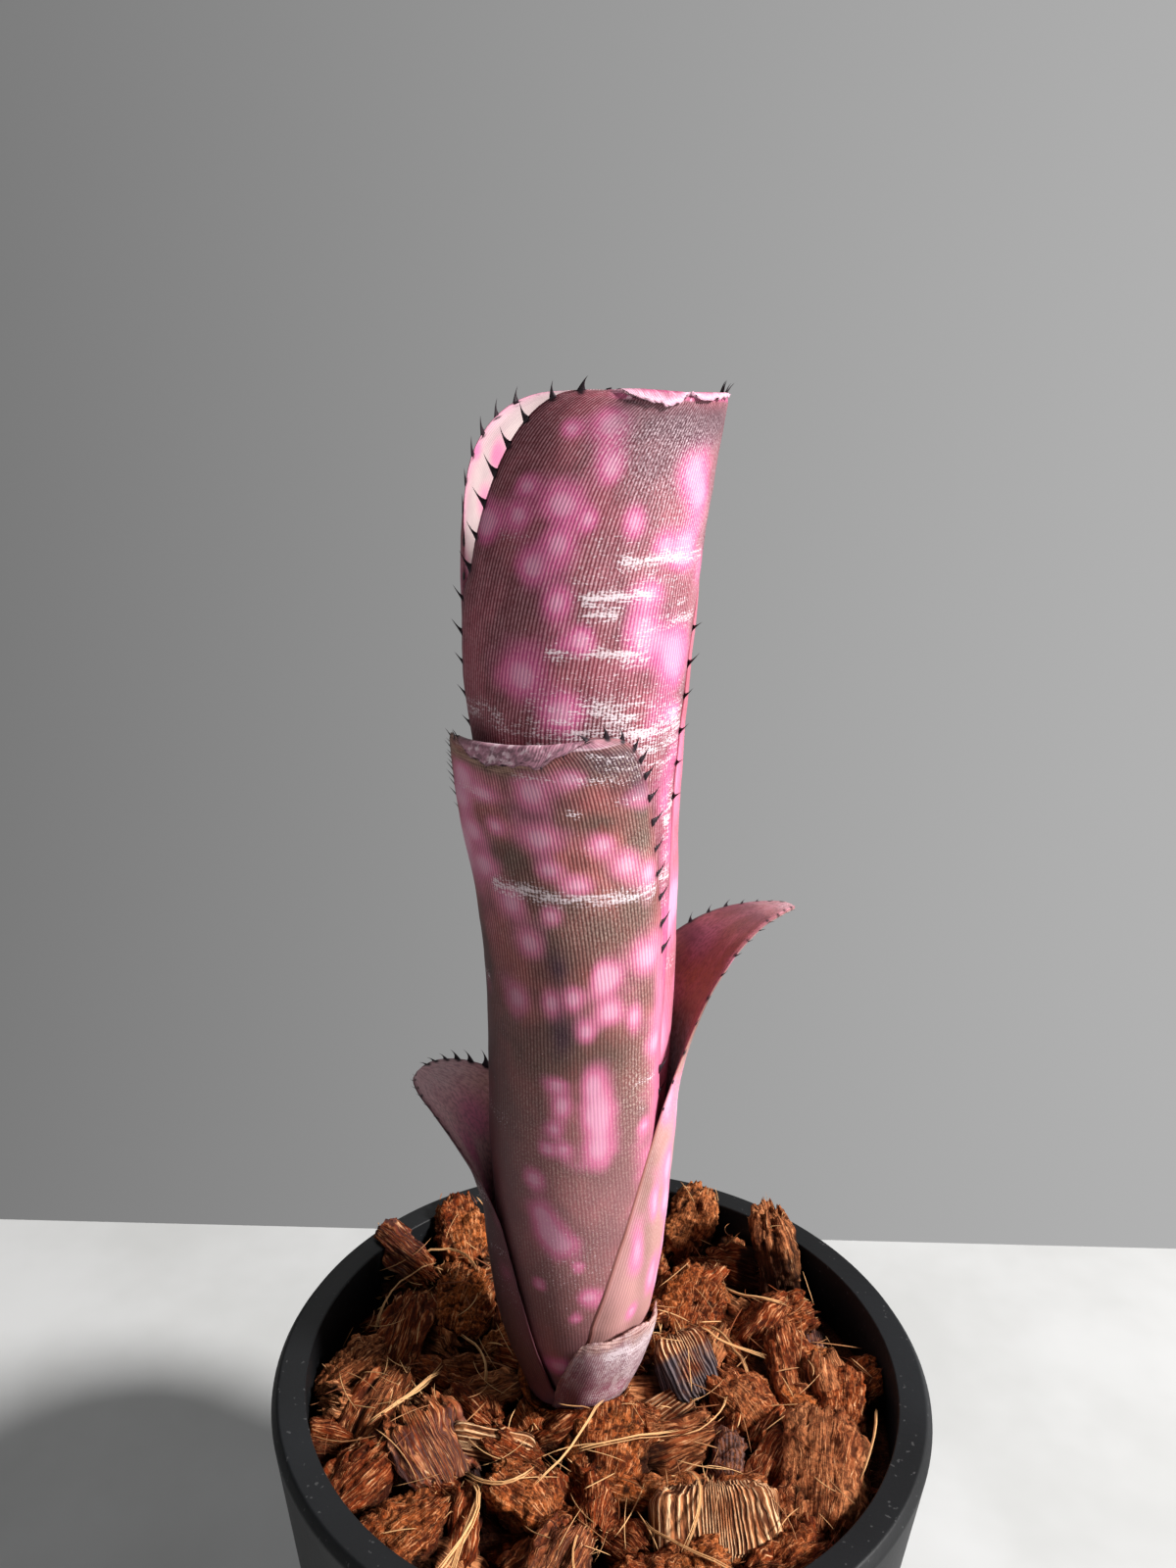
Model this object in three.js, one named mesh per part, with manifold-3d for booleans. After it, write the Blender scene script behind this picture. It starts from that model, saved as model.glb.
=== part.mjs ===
// A billbergia in a plant pot: rolled, spine-edged leaves nest into one upright tube, in coconut husk chips.
// Millimetres, +Z up. The origin is the middle of the pot's underside, and the plant's front faces -Y.
import * as THREE from "three";
import { mergeVertices } from "three/addons/utils/BufferGeometryUtils.js";
import Module from "manifold-3d";

const wasm = await Module();
wasm.setup();

// Driving dimensions

const pot = {
  diameter: 105,
  height: 92,
  footRadius: 41.5,
  rimWidth: 4.3, // the flat top of the rim
  rimChamfer: { width: 1, height: 1.5 },
  rimBand: { depth: 16, taper: 4, draft: 0.3 }, // the thick rim's inside, and the taper from it to the wall
  wall: 2.6,
  floor: 3,
  footChamfer: 1.5,
  sides: 48,
  groove: { inner: 18, outer: 33, depth: 1.2 }, // drainage groove in the underside
  drainHole: { count: 6, radius: 3.5, ring: 25.5 },
};

const clearance = 0.3; // between pieces that touch

// A spine points `outward` from the margin, `tipward` along it and a little off the blade's face. Sizes and
// pitch grow with the distance from the leaf's tip. A lip folds out from the `strip` under a leaf's top edge.
const blade = {
  thickness: 0.65,
  spine: {
    length: 2.6,
    width: 1.7,
    thickness: 0.56,
    root: 0.5,
    outward: 0.78,
    tipward: 0.6,
    raised: 0.12,
    sizeGrows: [-12, 16],
    pitchGrows: [-20, 30],
  },
  lip: { strip: 1, foldRadius: 0.9, fade: 8, sinkFrom: 12 },
  topRiseFrom: 40,
  rowGather: 1.7, // how strongly the rows of points gather towards the top
};

// The tube that the leaves make, above the rim's plane: height, how far its axis lies from the pot's, and the
// radius of the innermost leaf. Each leaf outside it adds one layer.
const tube = {
  stations: [
    [-14, -4.3, 1.1],
    [-4, -4.3, 3.8],
    [9, -4.3, 8.2],
    [22, -4.4, 10.3],
    [40, -4.6, 11.6],
    [70, -4.6, 12.5],
    [98, -6.4, 13.95],
    [125, -6.5, 15.8],
    [150, -4.7, 16.9],
  ],
  y: -1,
  layers: 6,
  rings: [-9, -4, 1, 6, 12, 18, 26, 36, 48, 59, 71, 84, 98, 114], // rows of points that all leaves share
};

// Each leaf: which layer it is in, the azimuth of its midrib (0 is +X, anticlockwise from above), and the
// heights of its foot and top. Either margin runs from the corner angle at the top to the full angle `drop`
// lower, on a curve of the given power, and on to the foot angle. Angles are from the midrib, in degrees.
// `topRows` and `lipRows` are the rows of points above the last ring and in the fold at the top edge.
const leaves = [
  {
    name: "leaf_innermost",
    colour: 0xa45a74,
    layer: 0,
    midrib: 5,
    foot: -3,
    top: 149.9,
    clockwise: { corner: 100, full: 177, drop: 42, power: 0.46, foot: 176 },
    anticlockwise: { corner: 102, full: 190, drop: 19, power: 0.5, foot: 172 },
    tuck: { from: 150, to: 168, depth: 1.05, above: 20, below: 116, fadeIn: 12, fadeOut: 8 },
    lip: { from: -78, to: 6, length: 3, curl: 160 },
    columns: 28,
    topRows: 6,
    lipRows: 5,
    spines: { clockwise: 106, anticlockwise: 112, first: 4.6, pitch: 5.6 },
  },
  {
    name: "leaf_back",
    colour: 0xa8526e,
    layer: 1,
    midrib: 75,
    foot: -5,
    top: 131,
    clockwise: { corner: 45, full: 112, drop: 50, power: 0.5, foot: 155 },
    anticlockwise: { corner: 45, full: 105, drop: 46, power: 0.5, foot: 155 },
    lip: { from: -40, to: 40, length: 2.4, curl: 120 },
    columns: 20,
    topRows: 4,
    lipRows: 3,
    spines: { clockwise: 92, anticlockwise: 98, first: 4.6, pitch: 4.6 },
  },
  {
    name: "leaf_front",
    colour: 0x9c5260,
    layer: 2,
    midrib: 192,
    foot: -7,
    top: 104.8,
    topRise: 3,
    clockwise: { corner: 4, full: 95, drop: 60, power: 1.15, foot: 150 },
    anticlockwise: { corner: 88, full: 134, drop: 38, power: 0.33, foot: 150 },
    lip: { from: 0, to: 88, length: 4, curl: 160 },
    columns: 24,
    topRows: 5,
    lipRows: 5,
    spines: { clockwise: 76, anticlockwise: 74, first: 1.8, pitch: 3.9 },
  },
  {
    name: "leaf_right",
    colour: 0x98485a,
    layer: 3,
    midrib: 25,
    foot: -9,
    top: 86,
    clockwise: { corner: 3, full: 104, drop: 71, power: 0.85, foot: 150 },
    anticlockwise: { corner: 3, full: 104, drop: 71, power: 0.85, foot: 150 },
    arch: { from: 44, tilt: 100, power: 1.7, open: 1.6 },
    columns: 14,
    topRows: 8,
    lipRows: 1,
    spines: { clockwise: 50, anticlockwise: 50, first: 2, pitch: 4.4 },
  },
  {
    name: "leaf_left",
    colour: 0x8c4a5c,
    layer: 4,
    midrib: 158,
    foot: -12,
    top: 51.6,
    clockwise: { corner: 4, full: 92, drop: 50, power: 0.5, foot: 150 },
    anticlockwise: { corner: 4, full: 86, drop: 50, power: 0.5, foot: 150 },
    arch: { from: 26, tilt: 70, power: 1, open: 1.4 },
    columns: 14,
    topRows: 6,
    lipRows: 1,
    spines: { clockwise: 32, anticlockwise: 38, first: 2, pitch: 4 },
  },
  {
    name: "old_leaf_base",
    colour: 0xa78f92,
    layer: 5,
    midrib: 308,
    foot: -13.5,
    top: 14.4,
    clockwise: { corner: 34, full: 58, drop: 14, power: 0.8, foot: 100 },
    anticlockwise: { corner: 40, full: 60, drop: 14, power: 0.8, foot: 100 },
    columns: 12,
    topRows: 1,
    lipRows: 1,
  },
];

const stem = {
  top: -1.6,
  shoulder: -3,
  slim: 2.5,
  slope: 0.16,
  foot: -34,
  stub: 5,
  round: 0.6,
  flare: 4,
  neck: 3,
};

const husk = {
  seed: 11,
  level: -10.5, // top of the filling under the chips, from the rim's plane
  chips: 30,
  long: [10, 17],
  wide: [7, 11],
  thick: [4, 6.5],
  reach: 2, // how far the outer loose chips' middles stay from the rim
  scatter: 3,
  lift: [1.2, 3.8], // how far the loose chips' middles lie over the filling
  roll: 25,
  pitch: 28,
  collar: { height: 2, near: 12, far: 24 }, // the loose chips lie higher close round the plant
  uneven: { along: 0.22, across: 0.35 }, // how far a chip's corners are out of square, by its sides
  hole: { gap: 0.36, top: 26, step: 4, shoulder: 2 }, // where the plant stands
  // The large chips: x, y, height from the rim's plane, length, width, thickness, yaw, pitch.
  large: [
    [32.5, 27, -1, 17, 8.5, 6, 150, 72],
    [17.5, 37, -2, 13, 8, 6, 60, 50],
    [-26, 35, -3, 12, 9, 6, 110, 35],
    [-35, 23, -2.5, 14, 6, 5, 150, 12],
    [-25, 17, -5.5, 12, 10, 6, 80, 15],
    [-34, 8, -6, 15, 7, 5, 85, 12],
    [-41, 1, -6, 11, 7, 5, 30, 10],
    [-37, -9, -6.5, 13, 8, 5, 70, 15],
    [-36, -20, -6, 11, 8, 5, 50, 10],
    [-26.5, -15.5, -5.5, 14, 10, 6, 120, 14],
    [1, -13, -6.5, 13, 11, 7, 80, 20],
    [16.5, -27, -6, 16, 8, 7, 2, 4],
    [32.5, -19, -5.5, 17, 12, 8, 75, 15],
    [23, -4, -6.5, 12, 8, 5, 140, 15],
    [32, 2, -6, 14, 8, 5, 95, 20],
    [14.5, 3, -4.5, 12, 9, 7, 60, 30],
    [9, -37, -6.5, 14, 9, 6, 10, 5],
    [-28, -30, -5.5, 12, 9, 6, 40, 10],
    [30, 15, -7, 14, 8, 5, 20, 8],
    [17, 19, -7, 13, 9, 5, 70, 12],
    [-8, 34, -5.5, 14, 9, 6, 20, 14],
    [4, 43, -4, 13, 7, 6, 5, 20],
  ],
};

const materials = {
  plastic: { color: 0x1d2023, roughness: 0.55, metalness: 0 },
  husk: { color: 0xa0542a, roughness: 0.9, metalness: 0 },
  stem: { color: 0x7b6a4a, roughness: 0.85, metalness: 0 },
  leaf: { roughness: 0.5, metalness: 0 },
};

// Helpers

const radians = THREE.MathUtils.degToRad;
const { lerp, smoothstep } = THREE.MathUtils;

// Repeatable draws between 0 and 1.
function seededDraws(seed) {
  let state = seed;
  return () => {
    state = (state + 0x6d2b79f5) | 0;
    let mixed = Math.imul(state ^ (state >>> 15), 1 | state);
    mixed = (mixed + Math.imul(mixed ^ (mixed >>> 7), 61 | mixed)) ^ mixed;
    return ((mixed ^ (mixed >>> 14)) >>> 0) / 4294967296;
  };
}

// A closed geometry as a solid that can be joined and cut.
function solidOf(geometry) {
  const bare = geometry.clone();
  bare.deleteAttribute("normal");
  bare.deleteAttribute("uv");
  const merged = mergeVertices(bare, 1e-4);
  return new wasm.Manifold(
    new wasm.Mesh({
      numProp: 3,
      vertProperties: merged.attributes.position.array,
      triVerts: new Uint32Array(merged.index.array),
    }),
  );
}

// The largest body of a solid as a geometry, so that a scrap left by a cut is dropped.
function geometryOf(solid) {
  const largest = solid.decompose().reduce((a, b) => (a.volume() > b.volume() ? a : b));
  const mesh = largest.getMesh();
  const geometry = new THREE.BufferGeometry();
  geometry.setAttribute("position", new THREE.BufferAttribute(mesh.vertProperties, 3));
  geometry.setIndex(new THREE.BufferAttribute(mesh.triVerts, 1));
  return geometry;
}

function piece(name, geometry, look) {
  const mesh = new THREE.Mesh(geometry, new THREE.MeshStandardMaterial(look));
  mesh.name = name;
  return mesh;
}

// A turned solid about +Z from a profile of [radius, height] pairs.
function turned(profile, sides) {
  const points = profile.map(([radius, height]) => new THREE.Vector2(radius, height));
  return new THREE.LatheGeometry(points, sides).rotateX(Math.PI / 2);
}

// Pot

function potOuterRadius(height) {
  return lerp(pot.footRadius, pot.diameter / 2, height / (pot.height - pot.rimChamfer.height));
}

const rimInnerRadius = pot.diameter / 2 - pot.rimChamfer.width - pot.rimWidth;

// The inside of the pot from the floor's edge up to the rim, moved inwards by a gap.
function potInside(gap) {
  const bandFoot = pot.height - pot.rimBand.depth;
  const underBand = bandFoot - pot.rimBand.taper;
  return [
    [potOuterRadius(pot.floor) - pot.wall - gap, pot.floor + gap],
    [potOuterRadius(underBand) - pot.wall - gap, underBand],
    [rimInnerRadius - pot.rimBand.draft - gap, bandFoot],
  ];
}

function makePot() {
  const outer = pot.diameter / 2;
  const { inner, outer: grooveOuter, depth } = pot.groove;
  const profile = [
    [0, 0],
    [inner, 0],
    [inner + depth, depth],
    [grooveOuter - depth, depth],
    [grooveOuter, 0],
    [pot.footRadius - pot.footChamfer, 0],
    [potOuterRadius(pot.footChamfer), pot.footChamfer],
    [outer, pot.height - pot.rimChamfer.height],
    [outer - pot.rimChamfer.width, pot.height],
    [rimInnerRadius, pot.height],
    ...potInside(0).reverse(),
    [0, pot.floor],
  ];
  let solid = solidOf(turned(profile, pot.sides));
  const { count, radius, ring } = pot.drainHole;
  for (let i = 0; i < count; i++) {
    const angle = (i / count) * 2 * Math.PI;
    const hole = new THREE.CylinderGeometry(radius, radius, 4 * pot.floor, 16)
      .rotateX(Math.PI / 2)
      .translate(ring * Math.cos(angle), ring * Math.sin(angle), 0);
    solid = solid.subtract(solidOf(hole));
  }
  return piece("pot", geometryOf(solid), materials.plastic);
}

// Plant: heights below are above the rim's plane

const tubeCurve = new THREE.CubicInterpolant(
  tube.stations.map(([height]) => height),
  tube.stations.flatMap(([, x, radius]) => [x, radius]),
  2,
);

// The axis and the outer radius of one layer of the tube at a height. Layer 0 is the innermost.
function tubeAt(height, layer) {
  const [x, radius] = tubeCurve.evaluate(height);
  return { x, radius: radius + layer * (blade.thickness + clearance) };
}

// The angle between a leaf's midrib and one of its margins at a height.
function marginAngle(leaf, side, height) {
  const drop = Math.max(leaf.top - height, 0) / side.drop;
  const upper = lerp(side.corner, side.full, Math.min(drop, 1) ** side.power);
  const shoulder = leaf.top - side.drop;
  return lerp(side.foot, upper, smoothstep(height, leaf.foot, shoulder));
}

// How far the midrib of an arching blade has moved out and up, and its lean, `along` the blade past the tube.
function archAt(arch, length, along) {
  const steps = 24;
  const step = along / steps;
  let out = 0;
  let up = 0;
  const leanAt = (distance) => radians(arch.tilt) * (distance / length) ** arch.power;
  for (let i = 0; i < steps; i++) {
    const lean = leanAt((i + 0.5) * step);
    out += Math.sin(lean) * step;
    up += Math.cos(lean) * step;
  }
  return { out, up, lean: leanAt(along) };
}

const { strip, foldRadius, fade, sinkFrom } = blade.lip;

// How much of a leaf's lip is there at an angle from the midrib, from 0 to 1, with its length and its curl.
function lipAt({ lip }, angle) {
  if (!lip) return { folded: 0, length: 0, curl: 0 };
  const rise = smoothstep(angle, lip.from - fade, lip.from + fade);
  const fall = smoothstep(angle, lip.to - fade, lip.to + fade);
  return { folded: rise * (1 - fall), length: lip.length, curl: lip.curl };
}

// How far the anticlockwise margin is tucked in under the clockwise one.
function tuckAt({ tuck }, angle, height) {
  if (!tuck) return 0;
  const { from, to, depth, above, below, fadeIn, fadeOut } = tuck;
  const upward = smoothstep(height, above - fadeIn, above) * (1 - smoothstep(height, below - fadeOut, below));
  return depth * smoothstep(angle, from, to) * upward;
}

// The middle of a leaf's thickness. `rise` runs from 0 at the foot to 1 at the strip under the top edge and
// to 2 at the edge itself, `across` from -1 at the clockwise margin to 1 at the anticlockwise one.
function leafPoint(leaf, rise, across) {
  const side = across < 0 ? leaf.clockwise : leaf.anticlockwise;
  const past = Math.max(rise - 1, 0);
  const level = lerp(leaf.foot, leaf.top - strip, Math.min(rise, 1));
  const angle = across * marginAngle(leaf, side, level + past * strip);
  const { folded, length, curl } = lipAt(leaf, angle);
  const nearTop = smoothstep(level, leaf.top - blade.topRiseFrom, leaf.top);
  const sink = foldRadius * folded * smoothstep(level, leaf.top - sinkFrom, leaf.top - strip);
  const nominal = level + (leaf.topRise ?? 0) * Math.max(across, 0) * nearTop - sink;

  const along = past * (strip + folded * length);
  const turn = Math.min(Math.max(along - strip, 0) / foldRadius, radians(curl));
  const straight = along - Math.min(along, strip) - turn * foldRadius;
  const lipOut = foldRadius * (1 - Math.cos(turn)) + straight * Math.sin(turn);
  const lipUp = Math.min(along, strip) + foldRadius * Math.sin(turn) + straight * Math.cos(turn);

  const archStart = leaf.arch ? leaf.arch.from : Infinity;
  const height = Math.min(nominal + (leaf.arch ? along : 0), archStart);
  const { x, radius: outer } = tubeAt(Math.min(height, leaf.top), leaf.layer);
  const radius = outer - blade.thickness / 2 - tuckAt(leaf, angle, height);
  const midrib = radians(leaf.midrib);
  const beta = radians(angle);
  if (!leaf.arch) {
    const reach = radius + lipOut;
    return new THREE.Vector3(
      x + reach * Math.cos(midrib + beta),
      tube.y + reach * Math.sin(midrib + beta),
      height + lipUp,
    );
  }
  const bladeLength = leaf.top - archStart;
  const beyond = Math.max(nominal + along - archStart, 0);
  const { out, up, lean } = archAt(leaf.arch, bladeLength, beyond);
  const opened = lerp(1, leaf.arch.open, beyond / bladeLength);
  const sideways = radius * Math.sin(beta);
  const sag = (radius * (1 - Math.cos(beta))) / opened;
  const outward = radius + out - sag * Math.cos(lean);
  return new THREE.Vector3(
    x + outward * Math.cos(midrib) - sideways * Math.sin(midrib),
    tube.y + outward * Math.sin(midrib) + sideways * Math.cos(midrib),
    height + up + sag * Math.sin(lean),
  );
}

// A leaf's outward unit normal, from two short steps along its surface.
function leafNormal(leaf, rise, across) {
  const step = 1e-3;
  const low = Math.max(rise - step, 0);
  const high = Math.min(rise + step, 2);
  const left = Math.max(across - step, -1);
  const right = Math.min(across + step, 1);
  const up = leafPoint(leaf, high, across).sub(leafPoint(leaf, low, across));
  const over = leafPoint(leaf, rise, right).sub(leafPoint(leaf, rise, left));
  return over.cross(up).normalize();
}

// The rows of points from foot to edge: the shared rings, rows that draw closer to the top, and the lip.
function leafRows({ foot, top, topRows, lipRows, arch }) {
  const span = top - strip - foot;
  const highest = arch ? arch.from : top - 2 * topRows;
  const rings = tube.rings.filter((ring) => ring > foot + strip && ring < highest);
  const last = rings.length ? (rings.at(-1) - foot) / span : 0;
  const rises = [0, ...rings.map((ring) => (ring - foot) / span)];
  for (let i = 1; i <= topRows; i++) rises.push(lerp(1, last, (1 - i / topRows) ** blade.rowGather));
  for (let i = 1; i <= lipRows; i++) rises.push(1 + i / lipRows);
  return rises;
}

// The blade as a closed sheet: a grid of points on its outer face, the same grid on its inner face, and a
// band round the edge. Both faces are split into triangles alike, on the diagonals that follow the margins.
function leafSheet(leaf) {
  const { columns } = leaf;
  const rises = leafRows(leaf);
  const positions = [];
  for (const face of [0.5, -0.5])
    for (const rise of rises)
      for (let j = 0; j <= columns; j++) {
        const across = (2 * j) / columns - 1;
        const point = leafPoint(leaf, rise, across);
        point.addScaledVector(leafNormal(leaf, rise, across), face * blade.thickness);
        positions.push(point.x, point.y, point.z);
      }
  const width = columns + 1;
  const height = rises.length;
  const inner = width * height;
  const faces = [];
  for (let i = 0; i < height - 1; i++)
    for (let j = 0; j < columns; j++) {
      const a = i * width + j;
      const [b, c, d] = [a + 1, a + width + 1, a + width];
      const [p, q, r, s] = 2 * j < columns ? [d, a, b, c] : [a, b, c, d];
      faces.push(p, q, r, p, r, s, inner + p, inner + r, inner + q, inner + p, inner + s, inner + r);
    }
  const band = (from, to) => faces.push(from, to + inner, to, from, from + inner, to + inner);
  for (let j = 0; j < columns; j++) {
    band(j, j + 1);
    band((height - 1) * width + j + 1, (height - 1) * width + j);
  }
  for (let i = 0; i < height - 1; i++) {
    band((i + 1) * width, i * width);
    band(i * width + columns, (i + 1) * width + columns);
  }
  const geometry = new THREE.BufferGeometry();
  geometry.setAttribute("position", new THREE.Float32BufferAttribute(positions, 3));
  geometry.setIndex(faces);
  return geometry;
}

// The places of the spines on one side: up the margin from where they begin and along the top to the midrib,
// counted back from the tip, where they are smallest and closest together.
function spinePlaces(leaf, direction) {
  const begin = direction < 0 ? leaf.spines.clockwise : leaf.spines.anticlockwise;
  const trail = [];
  const samples = 160;
  for (let i = 0; i <= samples; i++) trail.push([2, (direction * i) / samples]);
  for (let i = 2 * samples; i >= 0; i--) trail.push([i / samples, direction]);
  const places = [];
  let travelled = 0;
  let next = leaf.spines.first;
  let previous = null;
  for (const [rise, across] of trail) {
    const point = leafPoint(leaf, rise, across);
    if (previous) travelled += point.distanceTo(previous);
    if (rise < 0.9 && point.z < begin) break;
    if (previous && travelled >= next) {
      const towardTip = previous.clone().sub(point).normalize();
      places.push({ point, towardTip, normal: leafNormal(leaf, rise, across), travelled });
      next += leaf.spines.pitch * smoothstep(travelled, ...blade.spine.pitchGrows);
    }
    previous = point;
  }
  return places;
}

// One spine: a flat three-sided thorn that leans towards the leaf's tip, with its root sunk in the margin.
function spineSolid({ point, towardTip, normal, travelled }, direction) {
  const { length, width, thickness, root, tipward, raised, sizeGrows } = blade.spine;
  const grown = smoothstep(travelled, ...sizeGrows);
  const outward = new THREE.Vector3().crossVectors(towardTip, normal).multiplyScalar(direction);
  const lean = outward.clone().multiplyScalar(blade.spine.outward);
  lean.addScaledVector(towardTip, tipward).addScaledVector(normal, raised);
  const tip = point.clone().addScaledVector(lean, length * grown);
  const foot = point.clone().addScaledVector(outward, -root);
  const half = (width * grown) / 2;
  const corner = (a, b) =>
    foot.clone().addScaledVector(towardTip, a * half).addScaledVector(normal, (b * thickness) / 2);
  const corners = [corner(-1, -1), corner(1, -1), corner(0, 1), tip];
  const geometry = new THREE.BufferGeometry();
  geometry.setAttribute(
    "position",
    new THREE.Float32BufferAttribute(corners.flatMap((c) => c.toArray()), 3),
  );
  const faces = [0, 2, 1, 0, 1, 3, 1, 2, 3, 2, 0, 3];
  geometry.setIndex(direction > 0 ? faces : faces.reverse());
  return solidOf(geometry);
}

function makeLeaf(leaf) {
  let solid = solidOf(leafSheet(leaf));
  if (leaf.spines)
    for (const direction of [-1, 1])
      for (const place of spinePlaces(leaf, direction)) solid = solid.add(spineSolid(place, direction));
  return piece(leaf.name, geometryOf(solid), { ...materials.leaf, color: leaf.colour });
}

// The short stem inside the leaf bases: it carries them, widens downwards and ends in a rounded stub.
function makeStem() {
  const { top, shoulder, slim, slope, foot, stub, round, flare, neck } = stem;
  const radiusAt = (height) => slim + slope * (shoulder - height);
  const lowest = leaves.at(-1).foot;
  const profile = [
    [0, foot],
    [stub * round, foot + round],
    [stub, foot + flare],
    [stub, lowest - neck],
    [radiusAt(lowest), lowest],
    [radiusAt(shoulder), shoulder],
    [slim * round, top - round],
    [0, top],
  ];
  const geometry = turned(profile, 24).translate(tubeAt(lowest, 0).x, tube.y, 0);
  return piece("stem", geometry, materials.stem);
}

// Coconut husk chips

// The plain hole in which the plant stands, a gap wider than its outermost layer and its stem.
function plantHole() {
  const { gap, top, step, shoulder } = husk.hole;
  const lowest = leaves.at(-1).foot;
  const profile = [
    [0, stem.foot - clearance],
    [stem.stub + clearance, stem.foot - clearance],
    [stem.stub + clearance, lowest - stem.neck],
  ];
  for (let height = lowest - shoulder; height < top; height += step)
    profile.push([Math.max(tubeAt(height, tube.layers - 1).radius, stem.stub) + gap, height]);
  profile.push([tubeAt(top, tube.layers - 1).radius + gap, top], [0, top]);
  return turned(profile, 32).translate(tubeAt(lowest, 0).x, tube.y, pot.height);
}

// One chip: a block with uneven corners.
function chipSolid([x, y, height, long, wide, thick, yaw, pitch], draw) {
  const { along, across } = husk.uneven;
  const geometry = new THREE.BoxGeometry(long, wide, thick);
  const position = geometry.attributes.position;
  const jitter = new Map();
  const corner = new THREE.Vector3();
  for (let i = 0; i < position.count; i++) {
    corner.fromBufferAttribute(position, i);
    const key = corner.toArray().join();
    if (!jitter.has(key)) jitter.set(key, [draw() - 0.5, draw() - 0.5, draw() - 0.5]);
    const [dx, dy, dz] = jitter.get(key);
    corner.add(new THREE.Vector3(dx * along * long, dy * across * wide, dz * across * thick));
    position.setXYZ(i, corner.x, corner.y, corner.z);
  }
  geometry.rotateX(radians((2 * draw() - 1) * husk.roll));
  geometry.rotateY(radians(-pitch));
  geometry.rotateZ(radians(yaw));
  geometry.translate(x, y, pot.height + height);
  return solidOf(geometry);
}

// Loose chips lie on a sunflower spiral over the filling, each turned and tipped by its own draws.
function looseChips(draw) {
  const { chips, long, wide, thick, level, lift, scatter, collar, pitch } = husk;
  const between = ([low, high]) => lerp(low, high, draw());
  const list = [];
  for (let i = 0; i < chips; i++) {
    const radius = (rimInnerRadius - husk.reach) * Math.sqrt((i + 0.5) / chips);
    const angle = i * Math.PI * (3 - Math.sqrt(5));
    const x = radius * Math.cos(angle) + (draw() - 0.5) * scatter;
    const y = radius * Math.sin(angle) + (draw() - 0.5) * scatter;
    const toPlant = Math.hypot(x - tubeAt(0, 0).x, y - tube.y);
    const heaped = collar.height * (1 - smoothstep(toPlant, collar.near, collar.far));
    const height = level + between(lift) + heaped;
    const size = [between(long), between(wide), between(thick)];
    list.push([x, y, height, ...size, 360 * draw(), (2 * draw() - 1) * pitch]);
  }
  return list;
}

function makeHusk() {
  const inside = potInside(clearance);
  const wall = rimInnerRadius - clearance;
  const upTo = (top) => solidOf(turned([[0, inside[0][1]], ...inside, [wall, top], [0, top]], pot.sides));
  const filling = upTo(pot.height + husk.level);
  const room = upTo(2 * pot.height);
  const draw = seededDraws(husk.seed);
  const chips = [...looseChips(draw), ...husk.large].map((chip) => chipSolid(chip, draw));
  const heap = wasm.Manifold.union([filling, ...chips]).intersect(room);
  const solid = heap.subtract(solidOf(plantHole()));
  return piece("husk_chips", geometryOf(solid), materials.husk);
}

const plant = new THREE.Group();
plant.add(makeStem(), ...leaves.map(makeLeaf));
plant.position.z = pot.height;

const pottedBillbergia = new THREE.Group();
pottedBillbergia.add(makePot(), makeHusk(), plant);

export default pottedBillbergia;
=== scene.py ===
import math
import bpy
import numpy as np
from mathutils import Matrix, Vector


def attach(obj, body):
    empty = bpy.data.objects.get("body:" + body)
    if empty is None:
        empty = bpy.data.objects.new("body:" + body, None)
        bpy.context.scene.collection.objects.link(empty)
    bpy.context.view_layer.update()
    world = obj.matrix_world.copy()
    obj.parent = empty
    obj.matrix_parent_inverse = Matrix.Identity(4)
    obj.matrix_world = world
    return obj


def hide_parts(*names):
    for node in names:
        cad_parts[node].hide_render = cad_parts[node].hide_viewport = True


# A potted billbergia. Lengths are millimetres above the pot's rim until a mesh is made, and metres from there.
# Colours are display values from 0 to 255, made linear where they meet a material.

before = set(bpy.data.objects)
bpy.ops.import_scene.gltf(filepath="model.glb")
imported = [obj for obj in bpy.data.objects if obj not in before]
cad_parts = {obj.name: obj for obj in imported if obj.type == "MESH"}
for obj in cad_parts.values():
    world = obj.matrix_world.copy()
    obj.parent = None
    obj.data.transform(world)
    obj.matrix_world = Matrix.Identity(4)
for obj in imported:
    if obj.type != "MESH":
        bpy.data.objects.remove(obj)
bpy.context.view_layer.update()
print("frame loaded")


# Numbers and shapes


def smooth(value, low, high):
    # 0 below low, 1 above high, and 3t^2 - 2t^3 between them
    t = np.clip((value - low) / (high - low), 0, 1)
    return t * t * (3 - 2 * t)


def lerp(first, second, share):
    # the straight blend: first, and share of the way on to second
    return first + (second - first) * share


def unit(vectors):
    # every vector over its own length
    return vectors / np.maximum(np.linalg.norm(vectors, axis=-1, keepdims=True), 1e-9)


def latticeNoise(points, seed=0):
    # -1 to 1: every corner of the unit lattice has a hashed value, blended along x, y and z by 3t^2 - 2t^3
    cell = np.floor(points).astype(np.int64)
    part = points - cell
    part = part * part * (3 - 2 * part)
    total = np.zeros(points.shape[:-1])
    for corner in np.ndindex(2, 2, 2):
        at = cell + np.array(corner)
        mixed = (at @ np.array([374761393, 668265263, 1440662683]) + seed * 1274126177) & 0xFFFFFFFF
        mixed = ((mixed ^ (mixed >> 13)) * 1274126177) & 0xFFFFFFFF
        value = ((mixed ^ (mixed >> 16)) & 0xFFFF) / 32767.5 - 1
        total += value * np.prod(np.where(np.array(corner) == 1, part, 1 - part), axis=-1)
    return total


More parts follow.
